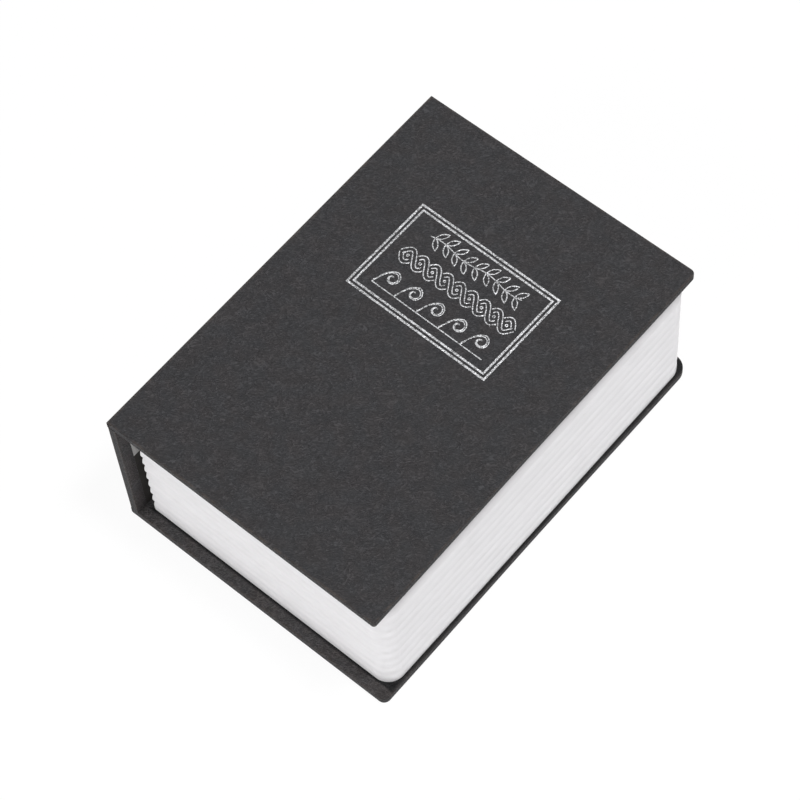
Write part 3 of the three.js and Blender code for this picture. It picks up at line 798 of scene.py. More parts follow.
pages = {
    "headRadius": 4.5,  # mm, fore-edge corners seen from above
    "tailRadius": 5.5,
    "footRadius": 4.5,  # the same corner at its foot
    "cornerShare": 0.48,  # depth of the ribs where the corners start, to those at the spine
    "foreShare": 0.28,  # and on the fore edge
    "wall": 1.7,
    "ribs": 11,
    "ribDepth": 0.6,
    "valleys": (0.1, 0.7, 1.0, 0.6, 1.0, 0.7, 0.9, 1.0, 0.6, 0.8, 0.6, 0.4),  # shares of the depth
    "levels": 8,  # cuts for each rib
    "shades": ((0.785, 0.775, 0.785), (0.82, 0.81, 0.82)),
    # painted shadow: how much darker the fore edge is painted close under the cover, where the
    # cover's overhang shades it
    "coverShadow": 0.36,  # how much darker the fore edge is close under the cover
    "coverShadowReach": 8.0,  # mm
    "flowScale": 0.11,
    "grainScale": 3.0,
    "grainDepth": 0.004,
    "roughness": (0.12, 0.52),  # more over the grain, and everywhere
    "specular": 0.25,
}


# How deep the wall is pressed in at a share of its height: fully between two ribs, not at all on one.
def ribWeight(share):
    place = min(share * pages["ribs"], pages["ribs"] - 1e-6)
    rib = int(place)
    part = place - rib
    valley = pages["valleys"][rib] * (1 - part) + pages["valleys"][rib + 1] * part
    return valley * (2 * part - 1) ** 2


def makePages():
    low, high = mmBox("page_block")
    piece = addBlock("ribbed_pages", low, high)
    edit(piece)
    ends = ((high.y, pages["headRadius"]), (low.y, pages["tailRadius"]))
    for end, radius in ends:
        pick(piece, "edges", lambda e: along(e, 2) and near(e, 0, high.x) and near(e, 1, end))
        bevel(radius, 14)
    pick(piece, "faces", lambda f: facing(f, 2, 1) or facing(f, 2, -1) or facing(f, 0, -1))
    bpy.ops.mesh.delete(type="FACE")
    cuts = pages["ribs"] * pages["levels"]
    levels = [low.z + (high.z - low.z) * i / cuts for i in range(cuts + 1)]
    sliceAt(2, levels[1:-1])
    # the corner at the tail is tighter towards its foot
    full = pages["tailRadius"]

    def atCorner(vert, level):
        x, y, z = vert.co / mm
        return abs(z - level) < 0.02 and x > high.x - full - 0.02 and y < low.y + full + 0.02

    for i, level in enumerate(levels):
        radius = pages["footRadius"] + (full - pages["footRadius"]) * i / cuts
        pick(piece, "verts", lambda v: atCorner(v, level))
        corner = Vector((high.x, low.y, level)) * mm
        bpy.ops.transform.resize(value=(radius / full, radius / full, 1), center_override=corner)
    leave()
    group = piece.vertex_groups.new(name="ribs")
    for vert in piece.data.vertices:
        share = (vert.co.z / mm - low.z) / (high.z - low.z)
        inwards = (high.x - vert.co.x / mm) / full
        rounding = pages["cornerShare"] - pages["foreShare"]
        depth = pages["foreShare"] + rounding * sqrt(max(0, inwards)) if inwards < 2 else 1
        group.add([vert.index], ribWeight(share) * depth, "REPLACE")
    strength = -pages["ribDepth"] * mm
    useModifier(piece, "DISPLACE", strength=strength, mid_level=0, vertex_group="ribs")
    edit(piece)
    for axis, place in ((2, low.z), (2, high.z)):
        pick(piece, "edges", lambda e: near(e, axis, place))
        bpy.ops.mesh.edge_face_add()
    pick(piece, "edges", lambda e: near(e, 0, low.x))
    bpy.ops.mesh.edge_face_add()
    outwards()
    leave()
    wall = pages["wall"]
    pocket = addBlock(
        "pocket",
        (low.x - 1, low.y + wall, low.z - 1),
        (high.x - wall, high.y - wall, high.z + 1),
    )
    edit(pocket)
    for end, radius in ends:
        inside = end - wall if end > 0 else end + wall
        pick(pocket, "edges", lambda e: along(e, 2) and e.verts[0].co.x > 0 and near(e, 1, inside))
        bevel(radius - wall, 8)
    leave()
    boolean(piece, pocket)
    smooth(piece, 35)
    return piece


def dressPages():
    sockets = {"Specular_IOR_Level": pages["specular"]}
    material, tree, shader = newMaterial("white_moulding", **sockets)
    place = objectPlace(tree)
    flow = noise(tree, scaled(tree, place, (1.0, 1.0, 2.5)), pages["flowScale"], 3.0, 0.6)
    grain = noise(tree, place, pages["grainScale"], 2.0)
    share = ramp(tree, calc(tree, "MULTIPLY_ADD", grain, 0.15, flow), 0.35, 0.8)
    colour = mixColour(tree, share, *pages["shades"])
    high = mmBox("page_block")[1]
    parts = addNode(tree, "SeparateXYZ", {"Vector": place}).outputs
    # painted shadow of the cover's overhang: the fore edge is painted darker close under the cover
    coverShadow = calc(
        tree,
        "MULTIPLY",
        ramp(tree, parts[2], high.z - pages["coverShadowReach"], high.z),
        ramp(tree, parts[0], high.x - 3, high.x - 0.5),
    )
    share = calc(tree, "MULTIPLY", coverShadow, pages["coverShadow"])
    colour = mixColour(tree, share, colour, (0.0, 0.0, 0.0))
    tree.links.new(colour, shader.inputs["Base Color"])
    gloss = calc(tree, "MULTIPLY_ADD", grain, *pages["roughness"])
    tree.links.new(gloss, shader.inputs["Roughness"])
    bump(tree, grain, shader, pages["grainDepth"])
    finish(makePages(), material, "base", "moulded_pages", "page_block")


dressPages()
stageDone("pages")


# Stamped foil: the double frame, and three rows of a plain traditional ornament inside it

foil = {
    "silver": (0.56, 0.565, 0.58),
    "bare": (0.06, 0.059, 0.06),
    "thickness": 0.05,  # mm
    "stroke": 0.135,  # half the width of a line
    "centre": (-0.9, 18.5),
    "turn": -0.8,  # degrees
    "gapScale": 3.4,  # where the foil didn't take
    "gapRange": (0.5, 0.72),
    "relief": 0.03,
    "sprig": {
        "from": -14.6,
        "to": 13.2,
        "y": 26.6,
        "wave": 0.45,
        "pairs": 9,
        "leaf": 3.5,
        "broad": 0.62,
        "lean": 52,  # degrees
    },
    "plait": {
        "from": -17.2,
        "to": 16.6,
        "y": 19.2,
        "swing": 1.95,
        "turns": 4.5,
        "band": 0.5,
        "gap": 0.155,  # the lower band stops this share of half a turn before a crossing
        "dot": 0.3,
    },
    "waves": {
        "from": -17.4,
        "to": 16.2,
        "y": 11.4,
        "count": 5,
        "height": 5.6,
        "band": 0.62,
        "lean": 0.17,  # of the rising line, in shares of a wave's length
        "curlPlace": (0.52, 0.25),  # shares of a wave's length and of half its height
        "curlSize": 0.78,
        "curlEye": 0.28,
        "curlTurn": 2.55,  # half turns
    },
}


def makeFoil():
    material, tree, shader = newMaterial("silver_stamping", Specular_IOR_Level=0.5)
    place = objectPlace(tree)
    relief = wrinkles(tree, place)
    gaps = noise(tree, place, foil["gapScale"], 3.0, 0.7)
    cover = ramp(tree, calc(tree, "MULTIPLY_ADD", relief, 0.2, gaps), *foil["gapRange"])
    colour = mixColour(tree, cover, foil["bare"], foil["silver"])
    tree.links.new(colour, shader.inputs["Base Color"])
    tree.links.new(calc(tree, "MULTIPLY", cover, 0.8), shader.inputs["Metallic"])
    rough = calc(tree, "MULTIPLY_ADD", cover, -0.2, 0.6)
    tree.links.new(rough, shader.inputs["Roughness"])
    bump(tree, relief, shader, foil["relief"])
    return material


# Each stroke is a list of flat points about the book's middle, in millimetres.
def sprigStrokes():
    spec = foil["sprig"]
    length = spec["to"] - spec["from"]

    def stem(share):
        return spec["from"] + length * share, spec["y"] + spec["wave"] * sin(2 * pi * 2 * share)

    strokes = [[stem(i / 60) for i in range(61)]]
    for i in range(spec["pairs"]):
        x, y = stem((i + 0.4) / spec["pairs"])
        for side in (1, -1):
            lean = radians(spec["lean"]) * side
            ahead, across = (cos(lean), sin(lean)), (-sin(lean), cos(lean))
            outline = []
            for k in range(25):
                t = k / 24 * 2
                share = t if t <= 1 else 2 - t
                width = spec["broad"] * sin(pi * share) ** 0.9 * (1 if t <= 1 else -1)
                reach = spec["leaf"] * share
                outline.append((
                    x + ahead[0] * reach + across[0] * width,
                    y + ahead[1] * reach + across[1] * width,
                ))
            strokes.append(outline)
    return strokes


# Two bands that pass over and under each other, each drawn as its two edges.
def plaitStrokes():
    spec = foil["plait"]
    length = spec["to"] - spec["from"]
    rate = 2 * pi * spec["turns"] / length
    strokes = []
    steps = 400
    for strand in (1, -1):
        for edge in (1, -1):
            points = []
            for i in range(steps + 1):
                x = length * i / steps
                y = strand * spec["swing"] * sin(rate * x)
                slope = strand * spec["swing"] * rate * cos(rate * x)
                size = hypot(1, slope)
                shift = edge * spec["band"]
                crossing = round(rate * x / pi)
                close = abs(rate * x / pi - crossing)
                under = (crossing % 2 == 0) == (strand > 0)
                if under and close < spec["gap"] and 0 < crossing < 2 * spec["turns"]:
                    if len(points) > 1:
                        strokes.append(points)
                    points = []
                    continue
                px = spec["from"] + x - shift * slope / size
                points.append((px, spec["y"] + y + shift / size))
            strokes.append(points)
    for i in range(int(2 * spec["turns"])):
        x = spec["from"] + (i + 0.5) * pi / rate
        turns = [a * pi / 6 for a in range(13)]
        size = spec["dot"]
        strokes.append([(x + size * cos(a), spec["y"] + size * sin(a)) for a in turns])
    return strokes


# A running wave: each crest curls over into a spiral.
def waveStrokes():
    spec = foil["waves"]
    pitch = (spec["to"] - spec["from"]) / spec["count"]
    half = spec["height"] / 2
    strokes = []
    across, up = spec["curlPlace"]
    for offset in (0, spec["band"]):
        for i in range(spec["count"]):
            x = spec["from"] + i * pitch
            centre = (x + pitch * across, spec["y"] + half * up)
            foot = spec["y"] - half + offset
            lean = pitch * spec["lean"] + offset * 0.4
            points = []
            for k in range(15):
                t = k / 14
                rise = (1 - cos(pi * t)) / 2
                points.append((x + lean * t, foot + rise * half))
            outer = half * spec["curlSize"] - offset
            start = points[-1]
            for k in range(46):
                t = k / 45
                angle = pi - t * pi * spec["curlTurn"]
                radius = outer * (1 - t) ** 0.8 + spec["curlEye"]
                px = centre[0] + radius * cos(angle)
                py = centre[1] + radius * sin(angle)
                blend = min(1, t * 5)
                points.append((
                    start[0] * (1 - blend) + px * blend,
                    start[1] * (1 - blend) + py * blend,
                ))
            strokes.append(points)
    base = spec["y"] - half
    strokes.append([(spec["from"], base), (spec["to"], base)])
    return strokes


def makeStamp(name, strokes, material):
    deselect()
    bpy.ops.curve.primitive_nurbs_path_add()
    piece = bpy.context.object
    piece.name = name
    curve = piece.data
    curve.splines.clear()
    for stroke in strokes:
        line = curve.splines.new("POLY")
        line.points.add(len(stroke) - 1)
        for point, (x, y) in zip(line.points, stroke):
            point.co = (x * mm, y * mm, 0, 1)
    curve.bevel_depth = foil["stroke"] * mm
    curve.bevel_resolution = 1
    curve.use_fill_caps = True
    bpy.ops.object.convert(target="MESH")
    edit(piece, "VERT")
    bpy.ops.mesh.select_all(action="SELECT")
    bpy.ops.mesh.remove_doubles(threshold=1e-6)
    flat = foil["thickness"] / 2 / foil["stroke"]
    pivot = Vector((*foil["centre"], 0)) * mm
    bpy.ops.transform.resize(value=(1, 1, flat), center_override=(0, 0, 0))
    turn = radians(foil["turn"])
    bpy.ops.transform.rotate(value=-turn, orient_axis="Z", center_override=pivot)
    lift = bookHigh.z + foil["thickness"] / 2
    bpy.ops.transform.translate(value=(0, 0, lift * mm))
    leave()
    smooth(piece, 60, weighted=False)
    finish(piece, material, "front_cover", "silver_foil")


def dressTitle():
    material = makeFoil()
    dress(material, "title_frame_outer", "title_frame_inner")
    makeStamp("stamped_sprig", sprigStrokes(), material)
    makeStamp("stamped_plait", plaitStrokes(), material)
    makeStamp("stamped_waves", waveStrokes(), material)


dressTitle()
stageDone("title stamping")


# Finishes of the safe inside

finishes = {
    "blackPaint": (0.020, 0.021, 0.023),
    "peelScale": 1.3,  # orange peel of the powder coat, per mm
    "peelDepth": 0.03,
    "zinc": ((0.42, 0.43, 0.445), (0.51, 0.515, 0.525)),
    "chrome": (0.66, 0.665, 0.675),
    "brass": ((0.55, 0.40, 0.165), (0.62, 0.465, 0.215)),
    "spring": ((0.38, 0.39, 0.41), (0.55, 0.56, 0.58)),
    "foam": ((0.58, 0.58, 0.54), (0.76, 0.76, 0.72)),
    "foamCells": 3.0,  # per mm
    "cloudScale": 0.35,
    "scratchScale": 1.6,
}


def makePaint():
    sockets = {"Base_Color": (*finishes["blackPaint"], 1), "Specular_IOR_Level": 0.45}
    material, tree, shader = newMaterial("black_powder_coat", **sockets)
    place = objectPlace(tree)
    peel = noise(tree, place, finishes["peelScale"], 2.0, 0.45)
    gloss = calc(tree, "MULTIPLY_ADD", noise(tree, place, 0.15, 2.0), 0.12, 0.34)
    tree.links.new(gloss, shader.inputs["Roughness"])
    bump(tree, peel, shader, finishes["peelDepth"])
    return material


# Metal with soft clouds and fine scratches.
def makeMetal(name, shades, roughness, scratchDepth=0.004):
    material, tree, shader = newMaterial(name, Metallic=1.0)
    place = objectPlace(tree)
    clouds = ramp(tree, noise(tree, place, finishes["cloudScale"], 3.0, 0.6), 0.35, 0.65)
    drawn = scaled(tree, place, (0.4, 4.0, 4.0))
    grain = noise(tree, drawn, finishes["scratchScale"], 3.0, 0.6)
    colour = mixColour(tree, clouds, *shades)
    tree.links.new(colour, shader.inputs["Base Color"])
    both = calc(tree, "MULTIPLY_ADD", grain, 0.12, calc(tree, "MULTIPLY", clouds, 0.05))
    rough = calc(tree, "ADD", both, roughness - 0.08)
    tree.links.new(rough, shader.inputs["Roughness"])
    bump(tree, grain, shader, scratchDepth)
    return material


def makeFoam():
    material, tree, shader = newMaterial("foam_tape", Specular_IOR_Level=0.2)
    place = objectPlace(tree)
    sockets = {"Vector": place, "Scale": finishes["foamCells"]}
    cells = addNode(tree, "TexVoronoi", sockets).outputs["Distance"]
    colour = mixColour(tree, ramp(tree, cells, 0.1, 0.6), *finishes["foam"])
    tree.links.new(colour, shader.inputs["Base Color"])
    shader.inputs["Roughness"].default_value = 0.9
    bump(tree, cells, shader, 0.05)
    return material


paint = makePaint()
zinc = makeMetal("bright_zinc", finishes["zinc"], 0.36)
chrome = makeMetal("satin_chrome", (finishes["chrome"],) * 2, 0.2, 0.001)
brass = makeMetal("turned_brass", finishes["brass"], 0.32)
springSteel = makeMetal("spring_wire", finishes["spring"], 0.3)
dress(makeFoam(), "mounting_tape_spine_side", "mounting_tape_fore_side")


# A copy of a finished piece, put in another place.
def placed(piece, name, place, turn=(0, 0, 0)):
    only(piece)
    bpy.ops.object.duplicate()
    copy = bpy.context.object
    copy.name = name
    copy.location = Vector(place) * mm
    copy.rotation_euler = turn
    bpy.ops.object.transform_apply(location=True, rotation=True, scale=True)
    return copy


# An arc of points from one angle to another, in degrees.
def arc(radius, start, end, steps, centre=(0, 0)):
    angles = [radians(start + (end - start) * i / steps) for i in range(steps + 1)]
    return [(centre[0] + radius * cos(a), centre[1] + radius * sin(a)) for a in angles]


# The steel box: a folded tray

box = {
    "sheet": 0.8,  # mm
    "cornerRadius": 1.6,
    "bendRadius": 1.1,
    "rimRadius": 0.2,
}


def makeBox():
    low, high = mmBox("box_body")
    piece = addBlock("steel_tray", low, high)
    edit(piece)
    pick(piece, "edges", lambda e: along(e, 2))
    bevel(box["cornerRadius"], 6)
    pick(piece, "edges", lambda e: near(e, 2, low.z))
    bevel(box["bendRadius"], 5)
    pick(piece, "faces", lambda f: facing(f, 2, 1) and near(f, 2, high.z))
    bpy.ops.mesh.delete(type="FACE")
    leave()
    giveWall(piece, box["sheet"])
    edit(piece)
    pick(piece, "edges", lambda e: near(e, 2, high.z) and not e.is_boundary)
    bevel(box["rimRadius"], 2)
    leave()
    smooth(piece)
    finish(piece, paint, "base", "black_painted_steel", "box_body")


# The lid: a pan whose lips hang outside the tray on three sides

lid = {
    "sheet": 1.0,  # mm
    "cornerRadius": 2.7,
    "bendRadius": 1.2,
    "lockHole": 6.15,
    "lockHoleFlat": 5.45,
}


def lockSpot():
    low, high = mmBox("lock_housing")
    return (low.x + high.x) / 2, (low.y + high.y) / 2


# A bar with two flats, as the lock's body has.
def flattenedBar(name, radius, flat, low, high):
    x, y = lockSpot()
    place = Vector((x, y, (low + high) / 2)) * mm
    deselect()
    size = {"radius": radius * mm, "depth": (high - low) * mm}
    bpy.ops.mesh.primitive_cylinder_add(vertices=96, location=place, **size)
    piece = bpy.context.object
    piece.name = name
    bpy.ops.object.transform_apply(location=True, rotation=True, scale=True)
    cutFlats(piece, flat)
    return piece


def cutFlats(piece, flat):
    middle = lockSpot()[1]
    edit(piece)
    for side in (1, -1):
        bpy.ops.mesh.select_all(action="SELECT")
        spot = Vector((0, middle + side * flat, 0)) * mm
        cut = {"use_fill": True, "clear_outer": True}
        bpy.ops.mesh.bisect(plane_co=spot, plane_no=(0, side, 0), **cut)
    leave()


def makeLid():
    low, high = mmBox("box_lid")
    piece = addBlock("steel_lid", low, high)
    edit(piece)
    pick(piece, "edges", lambda e: along(e, 2) and near(e, 0, high.x))
    bevel(lid["cornerRadius"], 8)
    pick(piece, "edges", lambda e: near(e, 2, high.z) and not near(e, 0, low.x))
    bevel(lid["bendRadius"], 5)
    pick(piece, "faces", lambda f: facing(f, 2, -1) or facing(f, 0, -1))
    bpy.ops.mesh.delete(type="FACE")
    leave()
    giveWall(piece, lid["sheet"])
    hole = flattenedBar("lock_hole", lid["lockHole"], lid["lockHoleFlat"], high.z - 3, high.z + 3)
    boolean(piece, hole)
    smooth(piece)
    finish(piece, paint, "lid", "black_painted_steel", "box_lid")


# The hinge: two rolled leaves on one pin, riveted to the tray and the lid

hinge = {
    "sheet": 0.6,  # mm
    "edgeSoft": 0.07,
    "rollRadius": 1.2,  # pin line to the middle of the rolled sheet
    "rollAngle": 290,  # degrees
    "rollSteps": 22,
    "knuckles": 5,
    "knuckleGap": 0.4,
    "pinRadius": 0.7,
    "pinHeadLength": 0.6,
    "rivetHeadRadius": 1.9,
    "rivetHeadHeight": 0.7,
    "rivetShankRadius": 1.0,
    "rivetTailRadius": 1.5,
    "rivetTailHeight": 0.5,
}


def pinLine():
    joints = frame["record"]["behaviour"]["joints"]
    place = next(joint["pos_m"] for joint in joints if joint["name"] == "lid_hinge")
    return Vector(place) / mm


# Where a leaf's knuckles are, along Y: every other one belongs to the tray's leaf.
def knuckleSpans(low, high, first):
    step = (high - low) / hinge["knuckles"]
    gap = hinge["knuckleGap"] / 2
    spans = []
    for i in range(first, hinge["knuckles"], 2):
        start = low + i * step + (gap if i else 0)
        end = low + (i + 1) * step - (gap if i < hinge["knuckles"] - 1 else 0)
        spans.append((start, end))
    return spans


# A leaf starts as the middle of its flat sheet. The edges of its knuckles are drawn out to the roll
# and spun about the pin line.
def makeLeaf(name, low, high, axis, side, edgePlace, rollStart, spans):
    piece = addBlock(name, low, high)
    edit(piece)
    pick(piece, "faces", lambda f: not facing(f, axis, side))
    bpy.ops.mesh.delete(type="FACE")
    sliceAt(1, [place for span in spans for place in span if low[1] < place < high[1]])
    edgeAxis = 2 if axis == 0 else 0

    def isKnuckle(edge):
        middle = (edge.verts[0].co.y + edge.verts[1].co.y) / 2 / mm
        inside = any(start < middle < end for start, end in spans)
        return along(edge, 1) and near(edge, edgeAxis, edgePlace) and inside

    pick(piece, "edges", isKnuckle)
    flat = high[0] if axis == 0 else high[2]
    start = Vector((flat, 0, edgePlace)) if axis == 0 else Vector((edgePlace, 0, flat))
    move = Vector((rollStart[0] - start.x, 0, rollStart[1] - start.z)) * mm
    bpy.ops.mesh.extrude_region_move(TRANSFORM_OT_translate={"value": move})
    angle = radians(hinge["rollAngle"])
    centre = pinLine() * mm
    bpy.ops.mesh.spin(steps=hinge["rollSteps"], angle=angle, center=centre, axis=(0, -1, 0))
    outwards()
    leave()
    giveWall(piece, hinge["sheet"], offset=0)
    softenEdges(piece, hinge["edgeSoft"], 2, 50)
    smooth(piece)
    return piece


def makeLeaves():
    pin = pinLine()
    half, roll = hinge["sheet"] / 2, hinge["rollRadius"]
    low, high = mmBox("hinge_leaf_box")
    wall = mmBox("box_body")[0].x - half
    plateTop = pin.z - roll - hinge["sheet"]
    spans = knuckleSpans(low.y, high.y, 0)
    ends = ((wall - half, low.y, low.z), (wall, high.y, plateTop))
    piece = makeLeaf("tray_leaf", *ends, 0, 1, plateTop, (pin.x + roll, pin.z), spans)
    finish(piece, zinc, "base", "zinc_plated_steel", "hinge_leaf_box")
    low, high = mmBox("hinge_leaf_lid")
    level = mmBox("box_lid")[1].z + half
    plateStart = pin.x + roll + hinge["sheet"]
    spans = knuckleSpans(*(mmBox("hinge_leaf_box")[i].y for i in (0, 1)), 1)
    ends = ((plateStart, low.y, level - half), (high.x, high.y, level))
    piece = makeLeaf("lid_leaf", *ends, 2, 1, plateStart, (pin.x, pin.z + roll), spans)
    finish(piece, zinc, "lid", "zinc_plated_steel", "hinge_leaf_lid")


def makePin():
    low, high = mmBox("hinge_pin")
    half = (high.y - low.y) / 2
    shank, head = hinge["pinRadius"], (high.x - low.x) / 2
    under = half - hinge["pinHeadLength"]
    soft = hinge["pinHeadLength"] / 2
    top = arc(soft, 0, 90, 5, (head - soft, half - soft))
    profile = [(0, half), *reversed(top), (head, under), (shank, under)]
    profile += [(x, -z) for x, z in reversed(profile)]
    upright = turnRound("upright_pin", (0, 0), profile, 32)
    smooth(upright)
    pin = pinLine()
    middle = (pin.x, (low.y + high.y) / 2, pin.z)
    piece = placed(upright, "knuckle_pin", middle, (pi / 2, 0, 0))
    bpy.data.objects.remove(upright)
    finish(piece, zinc, "base", "zinc_plated_steel", "hinge_pin")


def makeRivet(name, grip):
    head, height = hinge["rivetHeadRadius"], hinge["rivetHeadHeight"]
    tail, drop = hinge["rivetTailRadius"], hinge["rivetTailHeight"]
    shank = hinge["rivetShankRadius"]
    dome = [(x * head, z * height) for x, z in arc(1, 90, 4, 10)]
    soft = drop / 3
    profile = [*dome, (head, 0), (shank, 0), (shank, -grip), (tail, -grip)]
    profile += arc(soft, 0, -90, 3, (tail - soft, -grip - drop + soft))
    profile.append((0, -grip - drop))
    piece = turnRound(name, (0, 0), profile, 32)
    smooth(piece)
    return piece


def makeRivets():
    height = hinge["rivetHeadHeight"]
    sheets = {"box": box["sheet"], "lid": lid["sheet"]}
    for word, body in (("box", "base"), ("lid", "lid")):
        model = makeRivet(word + "_rivet_model", hinge["sheet"] + sheets[word])
        for i in range(3):
            node = f"{word}_leaf_rivet_{i + 1}"
            low, high = mmBox(node)
            middle = (low + high) / 2
            if word == "box":
                place, turn = (low.x + height, middle.y, middle.z), (0, -pi / 2, 0)
            else:
                place, turn = (middle.x, middle.y, high.z - height), (0, 0, 0)
            piece = placed(model, f"{word}_rivet_{i + 1}", place, turn)
            finish(piece, zinc, body, "zinc_plated_steel", node)
        bpy.data.objects.remove(model)


# The keeper: a bent angle that the locked cam reaches under

keeper = {
    "sheet": 1.0,  # mm
    "bendRadius": 1.0,
    "edgeSoft": 0.15,
}


def makeKeeper():
    low, high = mmBox("lock_keeper")
    half = keeper["sheet"] / 2
    wall, shelf = high.x - half, low.z + half
    piece = addBlock("cam_keeper", (wall - 1, low.y, shelf), (wall, high.y, high.z))
    edit(piece)
    pick(piece, "faces", lambda f: not facing(f, 0, 1))
    bpy.ops.mesh.delete(type="FACE")
    pick(piece, "edges", lambda e: near(e, 2, shelf))
    step = Vector((low.x - wall, 0, 0)) * mm
    bpy.ops.mesh.extrude_region_move(TRANSFORM_OT_translate={"value": step})
    pick(piece, "edges", lambda e: near(e, 2, shelf) and near(e, 0, wall))
    bevel(keeper["bendRadius"], 6)
    outwards()
    leave()
    giveWall(piece, keeper["sheet"], offset=0)
    softenEdges(piece, keeper["edgeSoft"], 2, 50)
    smooth(piece)
    finish(piece, zinc, "base", "zinc_plated_steel", "lock_keeper")


# The lock: a threaded housing, its nut and washer, and a plug that turns a cam

lock = {
    "bodyRadius": 6.0,  # mm
    "flat": 5.3,
    "threadPitch": 1.0,
    "threadDepth": 0.55,
    "threadNotch": (0, 0.36, 0.5, 0.86, 1),  # root, crest, crest, root, root, in shares of the pitch
    "boreRadius": 4.3,
    "headRadius": 8.0,
    "headSoft": 0.5,
    "faceRadius": 5.0,
    "faceRoom": 5.3,
    "faceHeight": 0.9,
    "faceSoft": 0.25,
    "faceGroove": (4.2, 4.05, 3.85, 3.7),  # radii of its rims and its floor, from outside
    "grooveDepth": 0.12,
    "recessDepth": 0.2,  # below the plug's face
    "recessSoft": 0.15,
    "plugRadius": 4.0,
    "keyway": (1.5, 5.6, 10.5),  # width, height, depth
    "keywayCorner": 0.25,
    "tailHalf": 2.3,
    "nutFlat": 7.5,
    "nutCone": 0.55,  # how far the cone comes down, to how far a corner stands out
    "nutEdge": 0.1,
    "washerSoft": 0.12,
    "camSoft": 0.25,
    "boreGap": 0.15,
    "screwHeadRadius": 2.6,
    "screwHeadSoft": 0.5,
    "screwRadius": 1.2,
    "screwPoint": 0.3,
    "screwHeadHeight": 1.6,
    "slotWidth": 0.6,
    "slotDepth": 0.6,
}


# The thread is one notch, wound up along the lock's axis and cut to the body's shape.
def makeThread(low, high):
    x, y = lockSpot()
    pitch, crest = lock["threadPitch"], lock["bodyRadius"]
    root = crest - lock["threadDepth"]
    radii = (root, crest, crest, root, root)
    notch = [(radius, share * pitch) for radius, share in zip(radii, lock["threadNotch"])]
    piece = drawProfile("lock_thread", (0, 0), notch)
    leave()
    turns = int((high - low) / pitch) + 4
    wind = {"axis": "Z", "screw_offset": pitch * mm, "iterations": turns, "use_merge_vertices": True}
    useModifier(piece, "SCREW", steps=48, render_steps=48, merge_threshold=1e-6, **wind)
    edit(piece)
    bpy.ops.mesh.select_all(action="SELECT")
    bpy.ops.mesh.remove_doubles(threshold=1e-6)
    bpy.ops.transform.translate(value=Vector((x, y, low - 2 * pitch)) * mm)
    bpy.ops.mesh.fill_holes(sides=0)
    outwards()
    leave()
    boolean(piece, flattenedBar("lock_body", crest + 0.1, lock["flat"], low, high), "INTERSECT")
    return piece


def makeHousing():
    low, high = mmBox("lock_housing")
    spot = lockSpot()
    seat = mmBox("box_lid")[1].z
    bore, room, soft = lock["boreRadius"], lock["faceRoom"], lock["headSoft"]
    floor = mmBox("lock_plug")[1].z - lock["faceHeight"] - lock["recessDepth"]
    head, neck, rim = lock["headRadius"], lock["bodyRadius"] - 0.1, lock["recessSoft"]
    profile = [(bore, seat - 1), (neck, seat - 1), (neck, seat), (head, seat)]
    profile += arc(soft, 0, 90, 6, (head - soft, high.z - soft))
    profile += arc(rim, 90, 180, 3, (room + rim, high.z - rim))
    profile += [(room, floor), (bore, floor), (bore, seat - 1)]
    piece = turnRound("lock_collar", spot, profile, 96)
    body = makeThread(low.z, seat - 0.5)
    boolean(body, flattenedBar("bore", bore, bore + 1, low.z - 1, seat + 1))
    for part in (piece, body):
        smooth(part, 35, weighted=False)
    deselect()
    body.select_set(True)
    piece.select_set(True)
    bpy.context.view_layer.objects.active = piece
    bpy.ops.object.join()
    useModifier(piece, "WEIGHTED_NORMAL", keep_sharp=True)
    finish(piece, chrome, "lid", "chromed_zinc", "lock_housing")


def ring(name, node, inside, segments=64):
    low, high = mmBox(node)
    centre = (low.x + high.x) / 2, (low.y + high.y) / 2
    outside, soft = (high.x - low.x) / 2, lock["washerSoft"]
    profile = [(inside, low.z), *arc(soft, -90, 0, 4, (outside - soft, low.z + soft))]
    profile += arc(soft, 0, 90, 4, (outside - soft, high.z - soft))
    profile += [(inside, high.z), (inside, low.z)]
    piece = turnRound(name, centre, profile, segments)
    smooth(piece)
    return piece


# A hexagon whose corners are taken off by a double cone.
def makeNut():
    low, high = mmBox("lock_nut")
    spot = lockSpot()
    flat = lock["nutFlat"]
    corner = flat / cos(pi / 6)
    place = Vector((*spot, (low.z + high.z) / 2)) * mm
    deselect()
    size = {"radius": corner * mm, "depth": (high.z - low.z) * mm}
    bpy.ops.mesh.primitive_cylinder_add(vertices=6, location=place, **size)
    piece = bpy.context.object
    piece.name = "hexagon_nut"
    bpy.ops.object.transform_apply(location=True, rotation=True, scale=True)
    rise = (corner - flat) * lock["nutCone"]
    outside = corner + 0.1
    profile = [(0, low.z), (flat, low.z), (outside, low.z + rise)]
    profile += [(outside, high.z - rise), (flat, high.z), (0, high.z)]
    boolean(piece, turnRound("nut_cone", spot, profile, 96), "INTERSECT")
    inside = lock["bodyRadius"] + lock["boreGap"]
    boolean(piece, flattenedBar("nut_bore", inside, inside + 1, low.z - 1, high.z + 1))
    softenEdges(piece, lock["nutEdge"], 2, 50)
    smooth(piece, 30)
    finish(piece, zinc, "lid", "zinc_plated_steel", "lock_nut")


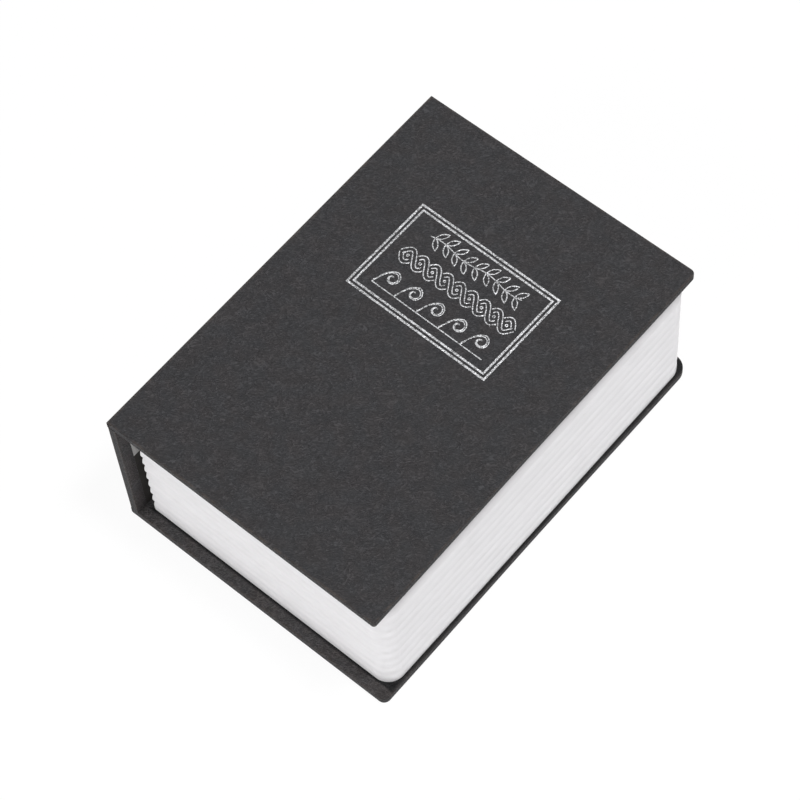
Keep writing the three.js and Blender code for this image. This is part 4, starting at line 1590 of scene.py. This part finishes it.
def makePlug():
    low, high = mmBox("lock_plug")
    spot = lockSpot()
    face, body, top, soft = lock["faceRadius"], lock["plugRadius"], high.z, lock["faceSoft"]
    tailTop = mmBox("lock_cam")[1].z
    under = top - lock["faceHeight"]
    profile = [(0, tailTop), (body, tailTop), (body, under), (face, under)]
    profile += arc(soft, 0, 90, 4, (face - soft, top - soft))
    levels = (top, top - lock["grooveDepth"], top - lock["grooveDepth"], top)
    profile += [*zip(lock["faceGroove"], levels), (0, top)]
    piece = turnRound("key_plug", spot, profile, 96)
    width, height, depth = lock["keyway"]
    corners = [(spot[0] + s * width / 2, spot[1] + s * height / 2) for s in (-1, 1)]
    slot = addBlock("keyway", (*corners[0], top - depth), (*corners[1], top + 1))
    edit(slot)
    pick(slot, "edges", lambda e: along(e, 2))
    bevel(lock["keywayCorner"], 3)
    leave()
    boolean(piece, slot)
    half = lock["tailHalf"]
    tail = addBlock(
        "plug_tail",
        (spot[0] - half, spot[1] - half, low.z),
        (spot[0] + half, spot[1] + half, tailTop + 1),
    )
    boolean(piece, tail, "UNION")
    smooth(piece, 30)
    finish(piece, brass, "plug", "lock_brass", "lock_plug")


def makeScrew():
    low, high = mmBox("cam_screw")
    spot = lockSpot()
    head, shank = lock["screwHeadRadius"], lock["screwRadius"]
    soft, point = lock["screwHeadSoft"], lock["screwPoint"]
    under = low.z + lock["screwHeadHeight"]
    profile = [(0, low.z), *arc(soft, -90, 0, 5, (head - soft, low.z + soft))]
    profile += [(head, under), (shank, under)]
    profile += [(shank, high.z - point), (shank - point, high.z), (0, high.z)]
    piece = turnRound("slotted_screw", spot, profile, 64)
    half = lock["slotWidth"] / 2
    slot = addBlock(
        "slot",
        (spot[0] - head - 1, spot[1] - half, low.z - 1),
        (spot[0] + head + 1, spot[1] + half, low.z + lock["slotDepth"]),
    )
    boolean(piece, slot)
    smooth(piece, 30)
    finish(piece, zinc, "plug", "zinc_plated_steel", "cam_screw")


def makeLock():
    makeHousing()
    makeNut()
    makePlug()
    makeScrew()
    washer = ring("shake_washer", "lock_washer", lock["bodyRadius"] + lock["boreGap"])
    finish(washer, zinc, "lid", "zinc_plated_steel", "lock_washer")
    washer = ring("small_washer", "cam_washer", lock["screwRadius"] + lock["boreGap"], 48)
    finish(washer, zinc, "plug", "zinc_plated_steel", "cam_washer")
    cam = softened("lock_cam", "turning_cam", lock["camSoft"], 3)
    finish(cam, zinc, "plug", "zinc_plated_steel", "lock_cam")
    for i in range(1, 5):
        dress(brass, f"wafer_{i}")
        dress(springSteel, f"wafer_spring_{i}")


makeBox()
makeLid()
makeLeaves()
makePin()
makeRivets()
makeKeeper()
stageDone("steel box and hinge")
makeLock()
stageDone("lock")
